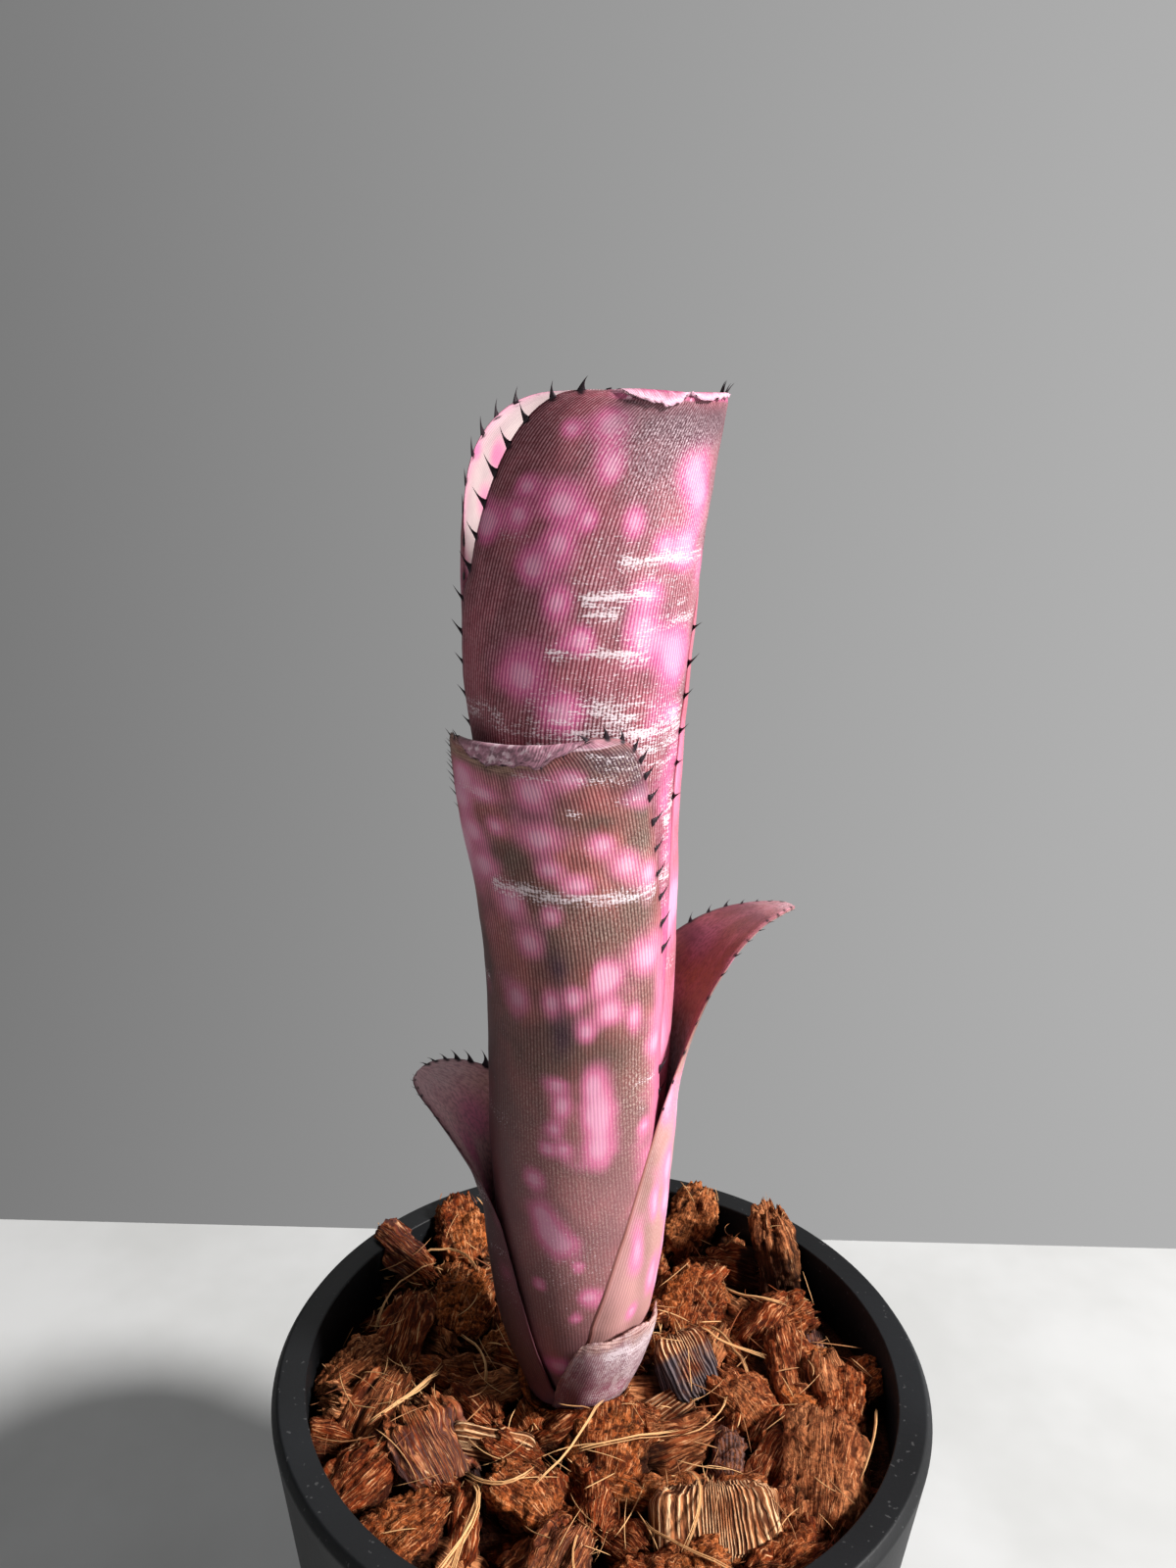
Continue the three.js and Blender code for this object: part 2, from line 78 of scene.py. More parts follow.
def layeredNoise(points, seed=0, layers=3, fall=0.5):
    # the sum of lattice noises, each at twice the frequency and `fall` times the height of the one before
    total = np.zeros(points.shape[:-1])
    for layer in range(layers):
        total += latticeNoise(points * 2.0**layer + 17.3 * layer, seed + layer) * fall**layer
    return total


def noiseAlong(x, y, seed, layers=3, fall=0.5):
    # layered noise over two coordinates
    return layeredNoise(np.stack([x, y, 0 * x], -1), seed, layers, fall)


def gridQuads(rows, columns, wrap=False):
    # the corners of each cell of a grid of points that is stored row by row
    i = np.arange(rows - 1)[:, None]
    j = np.arange(columns if wrap else columns - 1)[None, :]
    k = (j + 1) % columns
    corners = [i * columns + j, i * columns + k, (i + 1) * columns + k, (i + 1) * columns + j]
    return np.stack([np.broadcast_to(c, (rows - 1, j.shape[1])) for c in corners], -1).reshape(-1, 4)


def closedTube(rings, sides):
    # the faces of a tube: quads round its rings, and fans to the two end points that are stored after them
    start = np.arange(sides)
    after = (start + 1) % sides
    pole, last = 0 * start + rings * sides, (rings - 1) * sides
    fans = [np.stack([pole, after, start], -1), np.stack([pole + 1, last + start, last + after], -1)]
    return gridQuads(rings, sides, wrap=True), np.concatenate(fans)


def copied(faces, count, block):
    # the same faces for `count` shapes that are stored one after another, `block` points each
    return (faces + np.arange(count)[:, None, None] * block).reshape(-1, faces.shape[1])


def ellipses(first, second, wide, thick, sides):
    # a loop round every path point: first * wide * cos(angle) + second * thick * sin(angle)
    angle = np.linspace(0, 2 * np.pi, sides, endpoint=False)
    return (
        first[..., None, :] * (wide[..., None] * np.cos(angle))[..., None]
        + second[..., None, :] * (thick[..., None] * np.sin(angle))[..., None]
    )


def addMesh(name, points, quads, triangles=None, values=None, uv=None, finish=None, raised=True):
    # one object at the origin from points in millimetres above the rim, its faces, and a value per point by name
    mesh = bpy.data.meshes.new(name)
    quads = np.asarray(quads, dtype=np.int64).reshape(-1, 4)
    triangles = np.zeros((0, 3), np.int64) if triangles is None else np.asarray(triangles).reshape(-1, 3)
    points = np.asarray(points, float).reshape(-1, 3)
    places = (points + [0, 0, pot["height"] if raised else 0]) * 0.001
    corners = np.concatenate([quads.ravel(), triangles.ravel()]).astype(np.int32)
    sizes = np.concatenate([np.full(len(quads), 4), np.full(len(triangles), 3)]).astype(np.int32)
    mesh.vertices.add(len(points))
    mesh.vertices.foreach_set("co", places.astype(np.float32).ravel())
    mesh.loops.add(len(corners))
    mesh.loops.foreach_set("vertex_index", corners)
    mesh.polygons.add(len(sizes))
    mesh.polygons.foreach_set("loop_start", (np.cumsum(sizes) - sizes).astype(np.int32))
    mesh.polygons.foreach_set("loop_total", sizes)
    mesh.update(calc_edges=True)
    mesh.validate()
    mesh.shade_smooth()
    for label, value in (values or {}).items():
        layer = mesh.attributes.new(label, "FLOAT", "POINT")
        layer.data.foreach_set("value", np.asarray(value, np.float32).ravel())
    if uv is not None:
        layer = mesh.uv_layers.new(name="UVMap")
        layer.data.foreach_set("uv", np.asarray(uv, np.float32).reshape(-1, 2)[corners].ravel())
    thing = bpy.data.objects.new(name, mesh)
    bpy.context.scene.collection.objects.link(thing)
    mesh.materials.append(finish)
    return thing


# Materials


def linear(colour):
    # ((c + 0.055) / 1.055)^2.4 for each display value over 255, and c / 12.92 for the darkest
    return tuple(((c / 255 + 0.055) / 1.055) ** 2.4 if c > 10 else c / 3295 for c in colour) + (1.0,)


class Wire:
    # a value inside a material; sums written with it add Math nodes
    def __init__(self, finish, socket):
        self.finish = finish
        self.socket = socket

    def sum(self, operation, *values):
        return self.finish.node("ShaderNodeMath", {"operation": operation}, dict(enumerate(values)))

    def __add__(self, other):
        return self.sum("ADD", self, other)

    def __radd__(self, other):
        return self.sum("ADD", other, self)

    def __sub__(self, other):
        return self.sum("SUBTRACT", self, other)

    def __rsub__(self, other):
        return self.sum("SUBTRACT", other, self)

    def __mul__(self, other):
        return self.sum("MULTIPLY", self, other)

    def __rmul__(self, other):
        return self.sum("MULTIPLY", other, self)

    def __pow__(self, other):
        return self.sum("POWER", self, other)

    def cosine(self):
        return self.sum("COSINE", self)


class Finish:
    # a material, or the room round the plant, with one shader, and the ways to add nodes to its tree
    def __init__(self, name, constants, room=False):
        self.material = (bpy.data.worlds if room else bpy.data.materials).new(name)
        self.material.use_nodes = True
        self.tree = self.material.node_tree
        self.shader = self.tree.nodes["Background" if room else "Principled BSDF"]
        self.feed(constants)

    def join(self, port, value):
        # a wire is linked, a colour is made linear, and any other value is set on the socket itself
        if isinstance(value, Wire):
            self.tree.links.new(value.socket, port)
        else:
            port.default_value = linear(value) if isinstance(value, tuple) else value

    def feed(self, sockets):
        # what goes into the shader itself, by the names of its sockets
        for socket, value in sockets.items():
            self.join(self.shader.inputs[socket], value)
        return self.material

    def node(self, kind, settings=None, inputs=None, output=0):
        # any node: its type, its settings, which are set first, and the values or links of its sockets
        made = self.tree.nodes.new(kind)
        for setting, value in (settings or {}).items():
            setattr(made, setting, value)
        for port, value in (inputs or {}).items():
            self.join(made.inputs[port], value)
        return Wire(self, made.outputs[output])

    def values(self, *names):
        # the meshes' own values per point, by name
        return [self.node("ShaderNodeAttribute", {"attribute_name": name}, output="Fac") for name in names]

    def place(self):
        # a point's place in the object, in metres
        return self.node("ShaderNodeTexCoord", output="Object")

    def split(self, vector):
        # the vector's three parts
        parts = self.node("ShaderNodeSeparateXYZ", inputs={0: vector}).socket.node.outputs
        return [Wire(self, part) for part in parts]

    def vector(self, x, y, z=0.0):
        return self.node("ShaderNodeCombineXYZ", inputs={"X": x, "Y": y, "Z": z})

    def noise(self, where, scale, detail=2.0, roughness=0.5):
        inputs = {"Vector": where, "Scale": scale, "Detail": detail, "Roughness": roughness}
        return self.node("ShaderNodeTexNoise", inputs=inputs)

    def step(self, value, low, high, fromValue=0.0, toValue=1.0):
        # 3t^2 - 2t^3 from one value to the other, as t runs from low to high
        inputs = {"Value": value, "From Min": low, "From Max": high, "To Min": fromValue, "To Max": toValue}
        return self.node("ShaderNodeMapRange", {"interpolation_type": "SMOOTHSTEP"}, inputs)

    def cover(self, colour, *coats):
        # each coat is an amount and a colour, mixed over what is there
        for amount, coat in coats:
            colour = self.node("ShaderNodeMix", {"data_type": "RGBA"}, {0: amount, 6: colour, 7: coat}, output=2)
        return colour

    def bump(self, height, strength, distance):
        # tilts the normal by the height's slope
        inputs = {"Height": height, "Strength": strength, "Distance": distance}
        self.feed({"Normal": self.node("ShaderNodeBump", inputs=inputs)})


# Pot

pot = {
    "diameter": 105, "height": 92, "footRadius": 41.5, "rimWidth": 4.3, "chamfer": (1, 1.5),
    "band": 16, "taper": 4, "draft": 0.3, "wall": 2.6, "floor": 3, "footChamfer": 1.5,
    "groove": (18, 33, 1.2), "holes": 6, "holeRadius": 3.5, "holeRing": 25.5, "holeTurns": 40, "cutDepth": 20,
    "wallStations": (30, 60), "turns": 200, "edge": 0.35, "sharpAngle": 38,
    "colour": (14, 15, 17), "worn": (24, 26, 29), "dust": (150, 150, 150),
}
rimInner = pot["diameter"] / 2 - pot["chamfer"][0] - pot["rimWidth"]


def potOuter(height):
    # the wall's outer radius: a straight taper from the foot to just under the rim's chamfer
    top = pot["height"] - pot["chamfer"][1]
    return lerp(pot["footRadius"], pot["diameter"] / 2, np.asarray(height) / top)


def roundedProfile(corners, radius, steps=4):
    # each inner corner becomes a quadratic curve that starts and ends `radius` from it along its two sides
    corners = np.asarray(corners, float)
    path = [corners[:1]]
    for before, corner, after in zip(corners[:-2], corners[1:-1], corners[2:]):
        inward = before - corner
        outward = after - corner
        reach = min(radius, 0.4 * np.linalg.norm(inward), 0.4 * np.linalg.norm(outward))
        first = corner + inward / np.linalg.norm(inward) * reach
        last = corner + outward / np.linalg.norm(outward) * reach
        t = np.linspace(0, 1, steps + 1)[:, None]
        path.append((1 - t) ** 2 * first + 2 * t * (1 - t) * corner + t**2 * last)
    return np.concatenate(path + [corners[-1:]])


def turned(profile, turns):
    # the profile's radius and height carried round +Z; its two ends lie on the axis and are the end points
    ring = profile[1:-1]
    angle = np.linspace(0, 2 * np.pi, turns, endpoint=False)
    radius, height = ring[:, :1], ring[:, 1:]
    points = np.stack([radius * np.cos(angle), radius * np.sin(angle), height + 0 * angle], -1).reshape(-1, 3)
    poles = np.array([[0, 0, profile[0, 1]], [0, 0, profile[-1, 1]]])
    return np.concatenate([points, poles]), *closedTube(len(ring), turns)


def potFinish():
    # charcoal plastic, a little worn in broad patches, with fine grain and a few specks of dust
    finish = Finish("charcoalPlastic", {"Specular IOR Level": 0.3})
    place = finish.place()
    grain = finish.noise(place, 900.0, 3.0, 0.6)
    broad = finish.noise(place, 28.0, 3.0)
    specks = finish.step(finish.noise(place, 1300.0, 1.0, 0.4), 0.72, 0.76)
    colour = finish.cover(
        pot["colour"], (finish.step(broad, 0.35, 0.7), pot["worn"]), (specks * 0.14, pot["dust"]),
    )
    finish.bump(grain, 0.25, 0.0002)
    return finish.feed({"Base Color": colour, "Roughness": 0.44 + broad * 0.2})


def makePot():
    # the profile runs from the underside's middle, up the outside, over the rim and down to the floor's middle
    outer = pot["diameter"] / 2
    grooveIn, grooveOut, deep = pot["groove"]
    top = pot["height"]
    band = top - pot["band"]
    under = band - pot["taper"]
    corners = [
        (0, 0), (grooveIn, 0), (grooveIn + deep, deep), (grooveOut - deep, deep), (grooveOut, 0),
        (pot["footRadius"] - pot["footChamfer"], 0), (potOuter(pot["footChamfer"]), pot["footChamfer"]),
        *((potOuter(height), height) for height in pot["wallStations"]),
        (outer, top - pot["chamfer"][1]), (outer - pot["chamfer"][0], top), (rimInner, top),
        (rimInner - pot["draft"], band), (potOuter(under) - pot["wall"], under),
        (potOuter(pot["floor"]) - pot["wall"], pot["floor"]), (0, pot["floor"]),
    ]
    points, quads, fans = turned(roundedProfile(corners, pot["edge"]), pot["turns"])
    made = addMesh("grower_pot", points, quads, fans, finish=potFinish(), raised=False)
    # the drain holes are cut by cylinders that stand in a ring
    cutters = []
    radius, depth, ring = (0.001 * pot[size] for size in ("holeRadius", "cutDepth", "holeRing"))
    for index in range(pot["holes"]):
        angle = 2 * math.pi * index / pot["holes"]
        bpy.ops.mesh.primitive_cylinder_add(vertices=pot["holeTurns"], radius=radius, depth=depth)
        cutter = bpy.context.object
        cutter.location = (ring * math.cos(angle), ring * math.sin(angle), 0)
        cutters.append(cutter)
        cut = made.modifiers.new("hole", "BOOLEAN")
        cut.object = cutter
        cut.solver = "EXACT"
    bpy.context.view_layer.update()
    graph = bpy.context.evaluated_depsgraph_get()
    mesh = bpy.data.meshes.new_from_object(made.evaluated_get(graph))
    made.modifiers.clear()
    made.data = mesh
    for cutter in cutters:
        bpy.data.objects.remove(cutter)
    mesh.shade_smooth()
    mesh.set_sharp_from_angle(angle=math.radians(pot["sharpAngle"]))
    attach(made, "root")
    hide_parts("pot")


makePot()
print("pot made")


# Plant: the tube that the leaves make

plant = {
    "stations": np.array([
        [-14, -4.3, 1.1], [-4, -4.3, 3.8], [9, -4.3, 8.2], [22, -4.4, 10.3], [40, -4.6, 11.6],
        [70, -4.6, 12.5], [98, -6.4, 13.95], [125, -6.5, 15.8], [150, -4.7, 16.9],
    ]),
    "axisY": -1, "layer": 0.95, "thickness": 0.65, "strip": 1, "fade": 8,
    "sinkFrom": 12, "topRiseFrom": 40, "veinPitch": 0.5, "veinRadius": 13.5, "hug": 0.62, "hugWidth": 4.5,
    "uneven": 0.13, "flareFade": (7, 6), "archFade": 16,
}


def tubeAt(height, layer):
    # axis x and outer radius of a layer: a cubic through the stations whose slopes come from their neighbours
    time = plant["stations"][:, 0]
    level = np.clip(height, time[0], time[-1])
    high = np.clip(np.searchsorted(time, level, side="right"), 1, len(time) - 1)
    low = high - 1
    before = np.where(low > 0, low - 1, high)
    after = np.where(high < len(time) - 1, high + 1, low)
    half = (time[high] - time[low]) / 2
    weightBefore = half / (time[low] - time[before])
    weightAfter = half / (time[after] - time[high])
    p = (level - time[low]) / (time[high] - time[low])
    pp = p * p
    ppp = pp * p
    shares = (
        -weightBefore * ppp + 2 * weightBefore * pp - weightBefore * p,
        (1 + weightBefore) * ppp + (-1.5 - 2 * weightBefore) * pp + (-0.5 + weightBefore) * p + 1,
        (-1 - weightAfter) * ppp + (1.5 + weightAfter) * pp + 0.5 * p,
        weightAfter * ppp - weightAfter * pp,
    )
    x, radius = (
        sum(share * plant["stations"][index, column] for share, index in zip(shares, (before, low, high, after)))
        for column in (1, 2)
    )
    return x, radius + layer * plant["layer"]


def marginAngle(leaf, across, height):
    # degrees from the midrib to the margin on either side: corner at the top, full lower down, foot at the foot
    corner, full, drop, power, foot = (
        np.where(across < 0, first, second) for first, second in zip(leaf["clockwise"], leaf["anticlockwise"])
    )
    share = np.minimum(np.maximum(leaf["top"] - height, 0) / drop, 1)
    upper = lerp(corner, full, share**power)
    return lerp(foot, upper, smooth(height, leaf["foot"], leaf["top"] - drop))


def foldedAmount(leaf, angle):
    # 1 over the stretch of the top edge that is folded outwards, fading at its two ends
    if "lip" not in leaf:
        return 0 * angle
    start, end = leaf["lip"][:2]
    first, last = leaf.get("fades", (plant["fade"], plant["fade"]))
    return smooth(angle, start - first, start + first) * (1 - smooth(angle, end - last, end + last))


def lipLength(leaf, angle):
    # the lip's length at an angle: the listed share of the full one, plus ragged noise, never under 0.1
    full = leaf["lip"][2]
    length = full * (np.interp(angle, *leaf["lobes"]) if "lobes" in leaf else 1)
    ragged = noiseAlong(angle * leaf.get("tooth", 0.16), 0 * angle, leaf["seed"])
    return np.maximum(length + full * leaf.get("ragged", 0.2) * ragged, 0.1)


def leafPoint(leaf, rise, across):
    # rise 0 foot, 1 under the top edge, 2 the edge; across -1 to 1. The tube's point at the angle across times
    # the margin's angle, with a lip that rolls outwards at the top, or an arch that carries the blade away.
    strip, fold = plant["strip"], leaf.get("fold", 0.5)
    past = np.maximum(rise - 1, 0)
    level = lerp(leaf["foot"], leaf["top"] - strip, np.minimum(rise, 1))
    margin = marginAngle(leaf, across, level + past * strip)
    angle = across * margin
    folded = foldedAmount(leaf, angle)
    length, curl = (lipLength(leaf, angle), leaf["lip"][3]) if "lip" in leaf else (0, 0)
    nearTop = smooth(level, leaf["top"] - plant["topRiseFrom"], leaf["top"])
    sink = fold * folded * smooth(level, leaf["top"] - plant["sinkFrom"], leaf["top"] - strip)
    nominal = level + leaf.get("topRise", 0) * np.maximum(across, 0) * nearTop - sink
    if "torn" in leaf:
        tear = noiseAlong(angle * 0.09, 0 * angle, leaf["seed"] + 5, 5, 0.55)
        nominal = nominal - leaf["torn"] * (0.5 + 0.5 * tear) * smooth(rise, 0.35, 1)

    # the lip: a short upright strip, a roll of radius `fold`, and a straight end
    along = past * (strip + folded * length)
    turn = np.minimum(np.maximum(along - strip, 0) / fold, np.radians(curl))
    straight = along - np.minimum(along, strip) - turn * fold
    lipOut = fold * (1 - np.cos(turn)) + straight * np.sin(turn)
    lipUp = np.minimum(along, strip) + fold * np.sin(turn) + straight * np.cos(turn)

    # the tube's radius, less where a margin tucks in or hugs the leaf below, and more where it stands off
    archStart = leaf["arch"][0] if "arch" in leaf else 1e9
    height = np.minimum(nominal + (along if "arch" in leaf else 0), archStart)
    x, outer = tubeAt(np.minimum(height, leaf["top"]), leaf["layer"])
    radius = outer - plant["thickness"] / 2
    if "tuck" in leaf:
        begin, full, depth, above, below, fadeIn, fadeOut = leaf["tuck"]
        upward = smooth(height, above - fadeIn, above) * (1 - smooth(height, below - fadeOut, below))
        radius = radius - depth * smooth(angle, begin, full) * upward
    fromEdge = (1 - np.abs(across)) * np.radians(margin) * radius
    free = 0 * angle
    if "flare" in leaf:
        side, width, low, high, reach = leaf["flare"]
        fadeIn, fadeOut = plant["flareFade"]
        fromSide = np.radians(marginAngle(leaf, side + 0 * across, level + past * strip) - side * angle) * radius
        upward = smooth(height, low - fadeIn, low + fadeIn) * (1 - smooth(height, high, high + fadeOut))
        free = upward * (1 - smooth(fromSide, 0, width))
        radius = radius + reach * free**1.3
    if leaf["layer"] > 0:
        flat = (1 - free) * (1 - folded) * (1 - smooth(nominal + along, archStart, archStart + plant["archFade"]))
        radius = radius - plant["hug"] * flat * (1 - smooth(fromEdge, 0, plant["hugWidth"]))
    midrib, beta = np.radians(leaf["midrib"]), np.radians(angle)
    axisY = plant["axisY"]
    if "arch" not in leaf:
        reach = radius + lipOut
        return np.stack([x + reach * np.cos(midrib + beta), axisY + reach * np.sin(midrib + beta), height + lipUp], -1)

    # the arch: the lean grows as a power of the way along the blade, and the blade opens flatter as it goes
    start, tilt, power, opening = leaf["arch"]
    bladeLength = leaf["top"] - start
    beyond = np.maximum(nominal + along - start, 0)
    walked = np.linspace(0, bladeLength * 1.1, 300)
    lean = np.radians(tilt) * (walked / bladeLength) ** power
    step = walked[1]
    out = np.interp(beyond, walked, np.cumsum(np.sin(lean)) * step - np.sin(lean) * step / 2)
    up = np.interp(beyond, walked, np.cumsum(np.cos(lean)) * step - np.cos(lean) * step / 2 - step / 2)
    leanHere = np.radians(tilt) * (beyond / bladeLength) ** power
    opened = lerp(1, opening, beyond / bladeLength)
    sideways = radius * np.sin(beta)
    sag = radius * (1 - np.cos(beta)) / opened
    outward = radius + out - sag * np.cos(leanHere)
    return np.stack([
        x + outward * np.cos(midrib) - sideways * np.sin(midrib),
        axisY + outward * np.sin(midrib) + sideways * np.cos(midrib),
        height + np.maximum(up, 0) + sag * np.sin(leanHere),
    ], -1)


def leafNormal(leaf, rise, across):
    # across the two short steps along the surface
    step = 2e-3
    up = leafPoint(leaf, np.minimum(rise + step, 2), across) - leafPoint(leaf, np.maximum(rise - step, 0), across)
    over = leafPoint(leaf, rise, np.minimum(across + step, 1)) - leafPoint(leaf, rise, np.maximum(across - step, -1))
    return unit(np.cross(over, up))


# Thorns

thorn = {
    "length": 2.3, "width": 1.45, "thickness": 0.34, "root": 0.3, "rings": 7, "sides": 6,
    "shade": 0.4,  # how far the dark round a thorn's base reaches into the blade
    "past": 4, "spread": 6,  # where the bell of closer thorns lies beyond the corner, and how wide it is
    "samples": 400, "fade": 4, "grown": (-12, 16), "sizes": (0.8, 1.12), "leans": (0.36, 0.6),
}


def thornPlaces(leaf, side):
    # along one margin, counted back from the tip: spaced wider as they get away from it, closer by a bell just
    # past the corner, and smaller on the lip
    samples = thorn["samples"]
    rise = np.concatenate([np.full(samples, 2.0), np.linspace(2, 0, 2 * samples)])
    across = np.concatenate([np.linspace(0, side, samples), np.full(2 * samples, float(side))])
    path = leafPoint(leaf, rise, across)
    travelled = np.concatenate([[0], np.cumsum(np.linalg.norm(np.diff(path, axis=0), axis=-1))])
    *begins, target, spacing = leaf["thorns"]
    limit = travelled[(rise > 0.9) | (path[:, 2] > begins[side > 0])].max()
    peak = travelled[samples] + thorn["past"]
    chosen = []
    while target < limit:
        chosen.append(int(np.searchsorted(travelled, target)))
        crowd = leaf.get("crowd", 0) * math.exp(-(((target - peak) / thorn["spread"]) ** 2))
        target += spacing * float(smooth(target, -20, leaf.get("sparse", 30))) * (1 - crowd)
    chosen = np.array(chosen)
    bare = leaf.get("bareMargin", {}).get(side, (0, 0))
    chosen = chosen[(path[chosen, 2] < bare[0]) | (path[chosen, 2] > bare[1])]
    towardTip = unit(path[chosen - 1] - path[chosen])
    normal = leafNormal(leaf, rise[chosen], across[chosen])
    angle = across[chosen] * marginAngle(leaf, across[chosen], path[chosen, 2])
    start, end = leaf.get("calm", leaf.get("lip", (0, 0))[:2])
    fade = thorn["fade"]
    calm = smooth(angle, start - fade, start + fade) * (1 - smooth(angle, end - fade, end + fade))
    size = 1 - leaf.get("lipThorns", 0.8) * calm * (travelled[chosen] > leaf.get("tipReach", 5))
    size = size * leaf.get("thornScale", (1, 1))[side > 0]
    size = size * np.where(travelled[chosen] < 3, leaf.get("tipThorn", 1), 1)
    return path[chosen], towardTip, normal, travelled[chosen], size


def thornMesh(place, towardTip, normal, travelled, size, raised, side, seed):
    # a flat cone on a curved path: the path turns from outward to tipward, and the half width falls as a power
    # of what is left of the length, so that the base flares into the margin
    draw = np.random.default_rng(seed)
    count = len(place)
    rings, sides = thorn["rings"] - 1, thorn["sides"]
    grown = smooth(travelled, *thorn["grown"]) * draw.uniform(*thorn["sizes"], count) * size
    outward = np.cross(towardTip, normal) * side
    t = np.linspace(0, 1, thorn["rings"])
    lean = draw.uniform(*thorn["leans"], count)[:, None]
    length = (thorn["length"] * grown)[:, None]
    path = (
        place[:, None] - outward[:, None] * thorn["root"]
        + outward[:, None] * (length * (0.98 * t - 0.2 * t**2) + thorn["root"] * t)[..., None]
        + towardTip[:, None] * (length * (0.12 * t + lean * t**2))[..., None]
        + normal[:, None] * (raised * (0.5 + 0.5 * t) * length * t)[..., None]
    )
    left = 1 - t
    wide = (thorn["width"] / 2 * grown)[:, None] * (0.66 * left**3 + 0.34 * left**0.9)
    thick = thorn["thickness"] / 2 * left**0.8 * np.minimum(grown, 1)[:, None]
    loops = path[:, :, None] + ellipses(towardTip[:, None], normal[:, None], wide, thick, sides)
    points = np.concatenate([loops[:, :-1].reshape(count, -1, 3), path[:, :1], path[:, -1:]], 1)
    quads, fans = closedTube(rings, sides)
    if side < 0:
        quads, fans = quads[:, ::-1], fans[:, ::-1]
    block = rings * sides + 2
    return points.reshape(-1, 3), copied(quads, count, block), copied(fans, count, block)


# Markings on the leaves: blots are [azimuth, height, half width, half height] in degrees and millimetres, bands
# are [height, from azimuth, to azimuth, strength, half height], both about the tube's axis

marking = {
    "wobble": 0.26, "bell": 1.1, "spread": 1.22, "tall": (0.8, 1.5),
    "bandFade": 7, "ripple": 0.35, "bandBell": 1.9, "bandTurn": (18, 60), "bandTall": (0.35, 0.9),
}


def blotAmount(blots, azimuth, height, radius, wobble):
    # each blot is a bell over its scaled distance; together they cover as 1 - product of what each leaves clear
    clear = np.ones_like(height)
    bell = marking["bell"]
    for place, level, wide, tall, strength in np.asarray(blots, float).reshape(-1, 5):
        aside = np.radians((azimuth - place + 180) % 360 - 180) * radius / wide
        above = (height - level) / tall
        distance = (aside**2 + above**2) * (1 + marking["wobble"] * wobble) ** 2
        clear = clear * (1 - strength * np.exp(-bell * distance**bell))
    return 1 - clear


def bandAmount(bands, azimuth, height, ripple):
    # each band is a bell in height over a stretch of azimuth, its level shifted by a ripple
    total = np.zeros_like(height)
    fade = marking["bandFade"]
    for level, start, end, strength, tall in bands:
        turned = (azimuth - start) % 360
        span = (end - start) % 360
        reach = smooth(turned, 0, fade) * (1 - smooth(turned, span - fade, span))
        away = (height - level + marking["ripple"] * ripple) / (marking["bandBell"] * tall)
        total = np.maximum(total, strength * reach * np.exp(-(away**2)))
    return total


def scatteredBlots(draw, count, azimuths, heights, size, strength=(0.5, 1)):
    # blots for the faces that no listed one covers, each measure drawn evenly between its two ends
    wide = draw.uniform(*size, count)
    return np.stack([
        draw.uniform(*azimuths, count), draw.uniform(*heights, count), wide,
        wide * draw.uniform(*marking["tall"], count), draw.uniform(*strength, count),
    ], -1)


def scatteredBands(draw, count, azimuths, heights, strength=(0.3, 0.9)):
    # bands for the same faces, drawn in the same way
    start = draw.uniform(*azimuths, count)
    return np.stack([
        draw.uniform(*heights, count), start, start + draw.uniform(*marking["bandTurn"], count),
        draw.uniform(*strength, count), draw.uniform(*marking["bandTall"], count),
    ], -1)


# Looks of the leaves

# noises on a leaf's skin: scale across the veins, scale up the leaf, offset, detail and roughness
grains = {
    "drift": (0.055, 0.075, 0.0, 3.0, 0.55), "patch": (0.22, 0.3, 4.0, 3.0, 0.6),
    "dots": (1.1, 2.3, 9.0, 2.0, 0.7), "flakes": (0.8, 4.0, 2.0, 4.0, 0.8),
    "mottle": (0.45, 1.1, 21.0, 3.0, 0.65), "streak": (0.09, 1.5, 3.0, 3.0, 0.6),
    "fibrous": (0.12, 4.5, 7.0, 3.0, 0.65), "sway": (0.5, 0.35, 6.0, 1.0, 0.5), "fine": (1.7, 2.6, 15.0, 2.0, 0.7),
}


